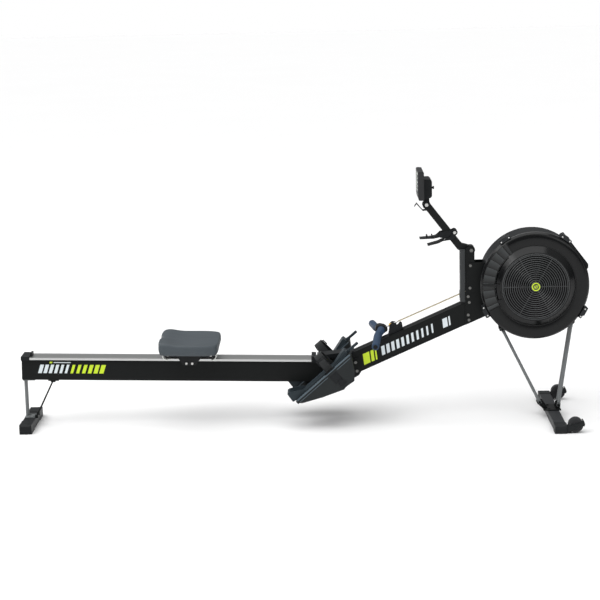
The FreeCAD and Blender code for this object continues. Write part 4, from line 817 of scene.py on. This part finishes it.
STRAP_LINE = [(65.5, -5.5), (66.6, 16), (71, 42), (84, 68), (102, 80.5), (124, 80.5), (143, 65), (158, 43),
              (167, 18), (170.5, -5.5)]
STRAP_FIRST = 178.6
STRAP_LAST = 215.4
TAIL_LINE = [(153.5, 60), (162, 57), (170, 49), (176.5, 38), (181, 26), (180.5, 15), (177.5, 13),
             (174.8, 19)]


def ribbon(name, points, first, last, rows):
    """Webbing along a smooth line of (across, out) points, between two places along the board."""
    def place(u, v):
        spot = curve_through([(x, y, 0) for x, y in points], u)
        return (spot.x, spot.y, first + (last - first) * v)
    band = skin(name, rows, 6, place)
    return apply_modifier(band, "SOLIDIFY", thickness=sizes().strap_thickness, offset=0.0)


def buckle_frame(name):
    """A ladder buckle: two cheeks, three bars and a thumb plate, in a footboard's frame."""
    bars = []
    for z0 in (-21.5, 18.5):
        bars.append(rounded("cheek", (-3.4, -14, z0), (3.4, 14, z0 + 3), 1.0))
    for y, half in ((-12.2, 1.9), (-4.2, 1.5), (4.2, 1.5), (12.2, 1.9)):
        bars.append(rounded("bar", (-2.6, y - half, -20), (2.6, y + half, 20), 0.9))
    bars.append(rounded("thumb", (0.8, -22.5, -15), (3.2, -12.5, 15), 0.9))
    frame_piece = joined(name, bars)
    lean = Matrix.Rotation(math.radians(24), 4, "Z")
    spot = Matrix.Translation(Vector((161.2, 56, 197)) * MM)
    return moved(frame_piece, spot @ lean)


class ROWER_OT_straps(bpy.types.Operator):
    """Model the foot straps, their ladder buckles and loose ends."""
    bl_idname = "rower.straps"
    bl_label = "Foot straps"

    def execute(self, context):
        for word, side in SIDES:
            strap = ribbon("strap_" + word, STRAP_LINE, STRAP_FIRST, STRAP_LAST, 72)
            tail = ribbon("strap_tail_" + word, TAIL_LINE, STRAP_FIRST + 3, STRAP_LAST - 3, 36)
            for band in (strap, tail):
                tidy(moved(band, on_board(side)))
            present(strap, "webbing", "frame", ["foot_strap_" + word], 60)
            present(tail, "webbing", "frame", (), 60)
            buckle = moved(buckle_frame("buckle_" + word), on_board(side))
            present(tidy(buckle), "black_plastic", "frame")
        return {"FINISHED"}


# --- footboards

BOARD_OUTER = 178.0
BEAD_OUT = -13.2


class ROWER_OT_boards(bpy.types.Operator):
    """Model the footboards' slate edges, ribs, side bands, clamps and toe racks, with the edges, top ribs,
    beads and lip painted light as a painted highlight.
    """
    bl_idname = "rower.boards"
    bl_label = "Footboard details"

    def execute(self, context):
        for word, side in SIDES:
            edges = []
            for y0 in (60.4, BOARD_OUTER - 2.4):
                edges.append(rounded("edge", (y0, 0.1, 8), (y0 + 2.6, 3.4, 170), 0.8))
                edges.append(rounded("edge", (y0, 0.1, 224), (y0 + 2.6, 3.4, 306), 0.8))
            for z in range(26, 166, 12):
                for y0, y1 in ((65, 76), (156, 172)):
                    edges.append(rounded("rib", (y0, 0.1, z), (y1, 1.5, z + 4), 0.5, 1))
            trim = moved(joined("board_trim_" + word, edges), on_board(side))
            # the edges and top ribs are painted light as a painted highlight
            present(tidy(trim), "slate_edge", "frame")

            soles = []
            for z in range(20, 206, 9):
                soles.append(rounded("sole_rib", (84, 4.9, z), (148, 6.1, z + 4), 0.5, 1))
            for z in range(294, 356, 9):
                soles.append(rounded("rack_tooth", (110.5, 10.9, z), (121.5, 12.4, z + 4.5), 0.5, 1))
            ribs = moved(joined("sole_ribs_" + word, soles), on_board(side))
            present(tidy(ribs), "slate", "heel_" + word)

            y = BOARD_OUTER
            low, high = STRAP_FIRST - 0.2, STRAP_LAST + 0.2
            band = rounded("band", (y - 1.5, -57.4, low), (y - 0.7, -14.6, high), 0.4)
            clip = rounded("clip", (y - 2, -79, 186), (y + 4, -64, 219), 2.2, 3)
            tongue = rounded("tongue", (y - 2, -66, 192), (y + 2.4, -52, 212), 1.2)
            clip = moved(joined("strap_anchor_" + word, [band, clip, tongue]), on_board(side))
            present(tidy(clip), "recess", "frame")

            lines = []
            for z0, z1 in ((12, 172), (222, 300)):
                lines.append(rounded("bead", (y - 1, BEAD_OUT, z0), (y + 1.1, BEAD_OUT + 2.2, z1), 0.6, 1))
            lines.append(rounded("lip", (y - 1, -3.2, 6), (y + 1.6, 0.4, 308), 0.8))
            bead = moved(joined("board_bead_" + word, lines), on_board(side))
            # the beads and lip are painted light as a painted highlight
            present(tidy(bead), "slate_edge", "frame")
        return {"FINISHED"}


# --- handle and chain

HANDLE_CENTRE = Vector((338.0, 0.0, 401.5))
HANDLE_BACK = Vector((-0.75, 0.0, -0.66)).normalized()
CHAIN_START = Vector((413.5, 0.0, 432.8))
CHAIN_TURN = Vector((705.07, 0.0, 558.59))
CHAIN_END = Vector((984.5, 0.0, 628.5))


def off_yoke(back, across):
    """A point of the handle, so far back from its yoke and out to the far side."""
    return HANDLE_CENTRE + HANDLE_BACK * back + Vector((0, across, 0))


def grip_point(u, v):
    """A point on the far grip: u along it from the yoke to the end cap, v round it."""
    radius = sizes().grip_radius / MM
    run = [off_yoke(0, 24.4), off_yoke(3, 48), off_yoke(20.5, 76), off_yoke(31, 158), off_yoke(41, 239.5)]
    share = min(max((u - 0.04) / 0.92, 0.0), 1.0)
    spot = curve_through(run, share)
    ahead = curve_through(run, min(share + 0.01, 1)) - curve_through(run, max(share - 0.01, 0))
    ahead.normalize()
    across = ahead.cross(Vector((0, 0, 1))).normalized()
    up = across.cross(ahead)
    groove = 0.45 * (math.sin(share * 118) > 0.86)
    if u <= 0.04:
        reach = radius * min(1.0, u / 0.03)
        spot = run[0]
    elif u >= 0.96:
        left = (1 - u) / 0.04
        reach = radius * math.sqrt(max(0.0, 1 - (1 - left) ** 2))
        spot = run[-1] + ahead * (1 - left) * 3.5
    else:
        reach = radius - groove + 0.5 * math.sin(share * math.pi)
    turn = 2 * math.pi * v
    return spot + across * reach * math.cos(turn) + up * reach * math.sin(turn)


class ROWER_OT_handle(bpy.types.Operator):
    """Model the bent rubber grips and their plugs, the handle body, rest horns and brass collar."""
    bl_idname = "rower.handle"
    bl_label = "Handle"

    def execute(self, context):
        far = tidy(skin("grip_far", 150, 36, grip_point))
        near = flipped(far, "grip_near")
        present(far, "grip_rubber", "handle", ["handle_grip_far"], 50)
        present(near, "grip_rubber", "handle", ["handle_grip_near"], 50)
        shape = [(-24, -10), (-12, -20), (14, -17), (29, -6), (28, 8), (14, 17), (-10, 21), (-24, 12)]
        shape = [(HANDLE_CENTRE.x + x, HANDLE_CENTRE.z + z) for x, z in shape]
        body = slab("handle_body", shape, -23.5, 23.5)
        present(soften(body, 5.0, 3), "black_plastic", "handle")
        horns = []
        outline = [(370, 374), (376, 408), (384, 423), (393, 426), (401, 414), (412, 415), (422, 429),
                   (430, 424), (433, 402)]
        for side in (NEAR, FAR):
            y0, y1 = sorted((side * 9.5, side * 22))
            horns.append(soften(slab("horn", outline, y0, y1), 2.6, 3))
        present(tidy(joined("rest_horns", horns)), "black_plastic", "frame")
        end = off_yoke(41, 243.2)
        plug = [(0, -2), (9.5, -2), (9.5, 0.2), (8.4, 1.2), (4.4, 1.2), (3.8, 0.4), (0, 0.4)]
        plug = lathe("grip_plug_far", plug, Vector((0, 0, 0)), 32)
        moved(plug, Matrix.Translation(end * MM))
        other = flipped(plug, "grip_plug_near")
        present(plug, "black_plastic", "handle")
        present(other, "black_plastic", "handle")
        along = (CHAIN_TURN - CHAIN_START).normalized()
        ring = [(3.2, 0), (5.6, 0), (6.2, 0.8), (6.2, 4), (5.4, 5), (5.4, 8), (6.2, 9), (6.2, 12), (5.4, 13),
                (3.2, 13), (3.2, 0)]
        ring = lathe("swivel_collar", ring, Vector((0, 0, 0)), 32)
        aim = Vector((0, 1, 0)).rotation_difference(along).to_matrix().to_4x4()
        moved(ring, Matrix.Translation((CHAIN_START - along * 43.5) * MM) @ aim)
        present(ring, "brass", "handle")
        return {"FINISHED"}


def link_pair(step):
    """An inner and an outer link of the roller chain, along X from the origin."""
    high = sizes().chain_plate / MM
    pieces = []
    for first, offsets in ((0.0, (1.45, 2.05)), (step / 2, (2.2, 2.5))):
        outline = []
        for i in range(5):
            turn = math.radians(90 + 45 * i)
            outline.append((first + high / 2 * math.cos(turn), high / 2 * math.sin(turn)))
        outline.append((first + step / 4, -high * 0.36))
        for i in range(5):
            turn = math.radians(-90 + 45 * i)
            outline.append((first + step / 2 + high / 2 * math.cos(turn), high / 2 * math.sin(turn)))
        outline.append((first + step / 4, high * 0.36))
        for side in (NEAR, FAR):
            y0, y1 = sorted((offsets[0] * side, offsets[1] * side))
            pieces.append(slab("link", outline, y0, y1))
    roller = [(0, -2.5), (1.2, -2.5), (1.2, -1.4), (1.75, -1.4), (1.75, 1.4), (1.2, 1.4), (1.2, 2.5),
              (0, 2.5)]
    for first in (0.0, step / 2):
        pieces.append(lathe("roller", roller, Vector((first, 0, 0)), 10))
    return joined("link_pair", pieces)


class ROWER_OT_chain(bpy.types.Operator):
    """Model the roller chain from the handle over the idler to the sprocket."""
    bl_idname = "rower.chain"
    bl_label = "Chain"

    def execute(self, context):
        runs = []
        for first, last in ((CHAIN_START, CHAIN_TURN), (CHAIN_TURN, CHAIN_END)):
            reach = (last - first).length
            count = round(reach / CHAIN_PITCH)
            step = reach / count
            pair = link_pair(step)
            apply_modifier(pair, "ARRAY", count=count, use_relative_offset=False,
                           use_constant_offset=True, constant_offset_displace=(step * MM, 0, 0))
            turn = math.atan2(last.z - first.z, last.x - first.x)
            place = Matrix.Translation(first * MM) @ Matrix.Rotation(-turn, 4, "Y")
            runs.append(moved(pair, place))
        chain = joined("roller_chain", runs)
        present(chain, "chain", None, ["drive_chain"], 30)
        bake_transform(chain)
        return {"FINISHED"}


# --- drum

LID_FACE = -100.0
GRILLE_FACE = -122.0
SCALE_FIRST = 129.0
SCALE_LAST = 203.0
SCALE_STEPS = 8


def wedge(name, first, last, inner, outer, low, high):
    """A facet of the damper's scale: it rises from low to high as it goes round."""
    steps = 4
    around = [first + (last - first) * i / steps for i in range(steps + 1)]
    outline = [on_hub(a, outer) for a in around] + [on_hub(a, inner) for a in reversed(around)]
    piece = slab(name, [(x, z) for x, y, z in outline], LID_FACE - 0.05, LID_FACE - 1.0)
    for vertex in piece.data.vertices:
        if vertex.co.y < (LID_FACE - 0.5) * MM:
            angle = math.degrees(math.atan2(vertex.co.z / MM - HUB.z, vertex.co.x / MM - HUB.x)) % 360
            share = (angle - first) / (last - first)
            vertex.co.y = (LID_FACE - low - (high - low) * share) * MM
    return soften(piece, 0.35, 1)


class ROWER_OT_drum(bpy.types.Operator):
    """Model the lid's domed face, the stepped damper scale, the slot's shroud and the rim beads."""
    bl_idname = "rower.drum"
    bl_label = "Drum face"

    def execute(self, context):
        face = [(174, 0.3), (175, -0.9), (180, -1.6), (190, -2.6), (201, -3.0), (211, -2.4), (217, -1.2),
                (221, 0.3)]
        turn = 360 - (SCALE_LAST - SCALE_FIRST) - 12
        dome = lathe("lid_dome", from_face(LID_FACE, face), HUB, 140, SCALE_LAST + 6, turn)
        only(dome)
        bpy.ops.object.mode_set(mode="EDIT")
        bpy.ops.mesh.select_all(action="DESELECT")
        bpy.ops.mesh.select_mode(type="EDGE")
        bpy.ops.mesh.select_non_manifold()
        bpy.ops.mesh.extrude_region_move(TRANSFORM_OT_translate={"value": (0, 0.8 * MM, 0)})
        bpy.ops.object.mode_set(mode="OBJECT")
        present(tidy(dome), "lid_plastic", "frame", smooth=40)

        facets = []
        span = (SCALE_LAST - SCALE_FIRST) / SCALE_STEPS
        for i in range(SCALE_STEPS):
            first = SCALE_FIRST + span * i
            facets.append(wedge("facet", first + 0.35, first + span - 0.35, 173.5, 221, 0.25, 1.75))
        for angle in (SCALE_FIRST - 4.6, SCALE_LAST + 0.6):
            facets.append(wedge("facet_end", angle, angle + 3.8, 172.5, 223, 1.6, 2.6))
        scale = joined("damper_scale", facets)
        # the facets' finish paints shade and highlight across each step
        present(scale, "scale_plastic", "frame", smooth=30)

        inside = [(167.7, -96.6), (143.7, -112.6), (143.4, -112.1), (167.4, -96.1), (167.7, -96.6)]
        shroud = lathe("damper_shroud", inside, HUB, 96, 88, 156)
        present(shroud, "lid_plastic", "damper", smooth=30)

        beads = []
        for radius, y, wide in ((229.2, -87.0, 1.0), (229.2, -77.5, 0.8)):
            profile = [(radius, y - wide), (radius + 0.7, y - wide * 0.6), (radius + 0.7, y + wide * 0.6),
                       (radius, y + wide), (radius - 0.8, y), (radius, y - wide)]
            beads.append(lathe("bead", profile, HUB, 160))
        rim = joined("rim_beads", beads)
        # the beads' lighter grey is partly painted highlight for the rim's bright arcs
        present(rim, "rim_plastic", "frame", smooth=40)
        return {"FINISHED"}


class ROWER_OT_grille(bpy.types.Operator):
    """Model the intake grille: fine rings, spokes, hub and a plain lime badge."""
    bl_idname = "rower.grille"
    bl_label = "Intake grille"

    def execute(self, context):
        wire = sizes().ring_wire / MM
        pieces = []
        for i in range(13):
            radius = 28 + 8.9 * i
            rows = [(-1, 3.0), (-1, 1.0), (-0.5, 0.2), (0.5, 0.2), (1, 1.0), (1, 3.0), (-1, 3.0)]
            rows = [(radius + wire * out, y) for out, y in rows]
            pieces.append(lathe("ring", from_face(GRILLE_FACE, rows), HUB, 96))
        rim = [(138.6, 4), (138.6, 0.6), (139.4, 0), (143.0, 0), (143.6, 0.8), (143.6, 4), (138.6, 4)]
        pieces.append(lathe("rim", from_face(GRILLE_FACE, rim), HUB, 120))
        hub = [(0, -1.2), (19, -1.2), (21.5, -0.4), (22.6, 1), (22.6, 4), (0, 4)]
        pieces.append(lathe("hub", from_face(GRILLE_FACE, hub), HUB, 64))
        for i in range(6):
            spoke = rounded("spoke", (20, GRILLE_FACE + 0.6, -1.3), (140.5, GRILLE_FACE + 3.8, 1.3), 0.4, 1)
            turn = Matrix.Translation(HUB * MM) @ Matrix.Rotation(math.radians(-60 * i), 4, "Y")
            pieces.append(moved(spoke, turn))
        # near-black screens behind the grille and at the drum's far side: painted shade standing in for the
        # dark inside of the drum
        intake = from_face(GRILLE_FACE, [(21.0, 4.2), (139.0, 4.2), (139.0, 4.9), (21.0, 4.9), (21.0, 4.2)])
        exhaust = [(70.0, 86.2), (164.0, 86.2), (164.0, 87.2), (70.0, 87.2), (70.0, 86.2)]
        for name, rows in (("intake_screen", intake), ("exhaust_screen", exhaust)):
            present(lathe(name, rows, HUB, 96), "mesh_screen", "frame", smooth=30)
        guard = joined("grille_rings", pieces)
        present(guard, "ring_plastic", "frame", ["intake_grille"], 40)

        shapes = []
        ring = [(13.2, -124.4), (13.2, -122.9), (17.6, -122.9), (17.6, -124.4), (13.2, -124.4)]
        shapes.append(lathe("badge_ring", ring, HUB, 48))
        for i in range(3):
            lean = [(HUB.x - 6 + 6.2 * i - 4.2, HUB.z - 7), (HUB.x - 6 + 6.2 * i - 1.4, HUB.z - 7),
                    (HUB.x - 6 + 6.2 * i + 3.6, HUB.z + 7), (HUB.x - 6 + 6.2 * i + 0.8, HUB.z + 7)]
            shapes.append(slab("badge_bar", lean, -124.3, -123.1))
        badge = joined("hub_badge", shapes)
        present(soften(badge, 0.25, 1), "lime", "frame", smooth=30)
        return {"FINISHED"}


# --- coloured bars

BEAM_BARS = [(52, 30, 20, 66, "lime"), (88, 14, 20, 66, "lime"), (108, 7, 20, 66, "lime")]
BEAM_BARS += [(140 + 23.5 * i, 15.5 - 0.8 * i, 26, 64, "silver") for i in range(11)]
BEAM_BARS += [(428, 22, 26, 64, "silver"), (456, 7, 26, 64, "silver")]
RAIL_BARS = [(68 + 23 * i, 16 - i, -70, -32, "silver") for i in range(6)]
RAIL_BARS += [(208 + 25 * i, 12 + 1.4 * i, -70, -32, "lime") for i in range(6)]
RAIL_BARS += [(118, 12, -26, -19, "lime"), (136, 74, -24.5, -20.5, "silver")]


def slanted(x0, wide, low, high, lean):
    """The outline of a bar that leans forward."""
    return [(x0, low), (x0 + wide, low), (x0 + wide + lean, high), (x0 + lean, high)]


class ROWER_OT_bars(bpy.types.Operator):
    """Lay plain slanted bars in lime and silver on the beam's and the rail's sides."""
    bl_idname = "rower.bars"
    bl_label = "Coloured bars"

    def execute(self, context):
        thick = sizes().bar_thickness / MM
        for word, side in SIDES:
            y0, y1 = sorted((side * (BEAM_HALF - 0.05), side * (BEAM_HALF + thick)))
            shapes = {}
            for table, body, place in ((BEAM_BARS, "frame", on_beam()), (RAIL_BARS, "rail", on_rail())):
                for x0, wide, low, high, shade in table:
                    bar = slab("bar", slanted(x0, wide, low, high, (high - low) * 0.3), y0, y1)
                    bar = moved(soften(bar, 0.15, 1), place)
                    shapes.setdefault((shade, body), []).append(bar)
            for (shade, body), bars in shapes.items():
                piece = joined("bars_%s_%s_%s" % (shade, body, word), bars)
                present(tidy(piece), shade, body, (), 0)
        return {"FINISHED"}


# --- stage

CAMERA_PLACE = (0.1126, -7.4195, 1.9895)
CAMERA_PITCH = 0.1937
CAMERA_YAW = 0.0163
CAMERA_ROLL = 0.0225
CAMERA_LENS = 105.3
LIGHTS = [
    ("key", (-3.4, -2.6, 4.4), (0.0, 0.0, 0.35), 3.0, 70.0),
    ("fill", (3.6, -4.4, 3.2), (0.4, 0.0, 0.5), 2.4, 36.0),
    ("back", (-4.6, 2.4, 2.4), (-0.4, 0.0, 0.3), 2.6, 60.0),
]
SUN_STRENGTH = 2.2
SUN_SOFTNESS = math.radians(75)
SUN_AIM = (0.25, 0.3, -1.0)
SKY_STRENGTH = 0.62
SKY_LOW = (0.12, 0.125, 0.13, 1)
SKY_TURN = 0.7


def add_floor():
    floor = fresh("studio_floor", bpy.ops.mesh.primitive_plane_add, size=80)
    made = Finish("studio_floor")
    cloud = made.noise(0.8, 2.0)
    floor.data.materials.append(made.use(
        Base_Color=made.shades((0.86, 0.86, 0.86, 1.0), 0.01, cloud), Roughness=0.85,
        Specular_IOR_Level=0.1))


def add_world():
    """White where the camera looks past the floor, and a soft sky for light."""
    world = bpy.data.worlds.new("studio")
    bpy.context.scene.world = world
    world.use_nodes = True
    tree = world.node_tree
    tree.nodes.clear()
    kinds = ("OutputWorld", "MixShader", "LightPath", "Background", "Background", "ValToRGB", "SeparateXYZ",
             "TexCoord")
    out, mix, path, white, sky, ramp, split, place = [tree.nodes.new("ShaderNode" + kind) for kind in kinds]
    white.inputs["Color"].default_value = (1, 1, 1, 1)
    white.inputs["Strength"].default_value = 1.0
    sky.inputs["Strength"].default_value = SKY_STRENGTH
    low, high = ramp.color_ramp.elements
    low.position = 0.0
    low.color = SKY_LOW
    high.position = SKY_TURN
    high.color = (1.0, 1.0, 1.0, 1)
    for start, end in ((place.outputs["Generated"], split.inputs[0]),
                       (split.outputs["Z"], ramp.inputs["Fac"]),
                       (ramp.outputs["Color"], sky.inputs["Color"]),
                       (path.outputs["Is Camera Ray"], mix.inputs[0]),
                       (sky.outputs[0], mix.inputs[1]),
                       (white.outputs[0], mix.inputs[2]),
                       (mix.outputs[0], out.inputs["Surface"])):
        tree.links.new(start, end)


def add_camera():
    """The camera, from its place, pitch, yaw and roll."""
    camera = fresh("studio_camera", bpy.ops.object.camera_add)
    right = Vector((math.cos(CAMERA_YAW), math.sin(CAMERA_YAW), 0))
    ahead = Vector((-math.sin(CAMERA_YAW), math.cos(CAMERA_YAW), 0))
    up = Vector((0, 0, 1))
    forward = ahead * math.cos(CAMERA_PITCH) - up * math.sin(CAMERA_PITCH)
    above = ahead * math.sin(CAMERA_PITCH) + up * math.cos(CAMERA_PITCH)
    x = right * math.cos(CAMERA_ROLL) - above * math.sin(CAMERA_ROLL)
    y = right * math.sin(CAMERA_ROLL) + above * math.cos(CAMERA_ROLL)
    turn = Matrix((x, y, -forward)).transposed().to_4x4()
    camera.matrix_world = Matrix.Translation(CAMERA_PLACE) @ turn
    camera.data.sensor_width = 36.0
    camera.data.lens = CAMERA_LENS
    camera.data.clip_end = 200.0
    bpy.context.scene.camera = camera


def add_lights():
    for name, place, aim, size, power in LIGHTS:
        light = fresh("light_" + name, bpy.ops.object.light_add, type="AREA", location=place)
        light.data.shape = "SQUARE"
        light.data.size = size
        light.data.energy = power
        away = Vector(place) - Vector(aim)
        light.rotation_euler = away.to_track_quat("Z", "Y").to_euler()
    sun = fresh("light_sun", bpy.ops.object.light_add, type="SUN", location=(0, 0, 6))
    sun.data.energy = SUN_STRENGTH
    sun.data.angle = SUN_SOFTNESS
    sun.rotation_euler = (-Vector(SUN_AIM)).to_track_quat("Z", "Y").to_euler()


class ROWER_OT_stage(bpy.types.Operator):
    """Add the pale floor, soft lights, world and camera."""
    bl_idname = "rower.stage"
    bl_label = "Stage"

    def execute(self, context):
        context.scene.view_settings.view_transform = "Standard"
        add_floor()
        add_world()
        add_lights()
        add_camera()
        return {"FINISHED"}


# --- panel and registration

OPERATORS = (ROWER_OT_stage, ROWER_OT_finishes, ROWER_OT_seat, ROWER_OT_straps, ROWER_OT_boards,
             ROWER_OT_handle, ROWER_OT_chain, ROWER_OT_drum, ROWER_OT_grille, ROWER_OT_bars)


class ROWER_PT_panel(bpy.types.Panel):
    """The machine's pieces and their settings."""
    bl_label = "Rowing machine"
    bl_idname = "ROWER_PT_panel"
    bl_space_type = "VIEW_3D"
    bl_region_type = "UI"
    bl_category = "Rower"

    def draw(self, context):
        for operator in OPERATORS:
            self.layout.operator(operator.bl_idname)
        for group in (context.scene.rower_colours, context.scene.rower_sizes):
            for name in group.__annotations__:
                self.layout.prop(group, name)


CLASSES = (RowerColours, RowerSizes) + OPERATORS + (ROWER_PT_panel,)


def register():
    for cls in CLASSES:
        bpy.utils.register_class(cls)
    bpy.types.Scene.rower_colours = bpy.props.PointerProperty(type=RowerColours)
    bpy.types.Scene.rower_sizes = bpy.props.PointerProperty(type=RowerSizes)


def unregister():
    del bpy.types.Scene.rower_sizes
    del bpy.types.Scene.rower_colours
    for cls in reversed(CLASSES):
        bpy.utils.unregister_class(cls)


def main():
    register()
    for operator in OPERATORS:
        group, name = operator.bl_idname.split(".")
        getattr(getattr(bpy.ops, group), name)()


if __name__ == "__main__":
    main()
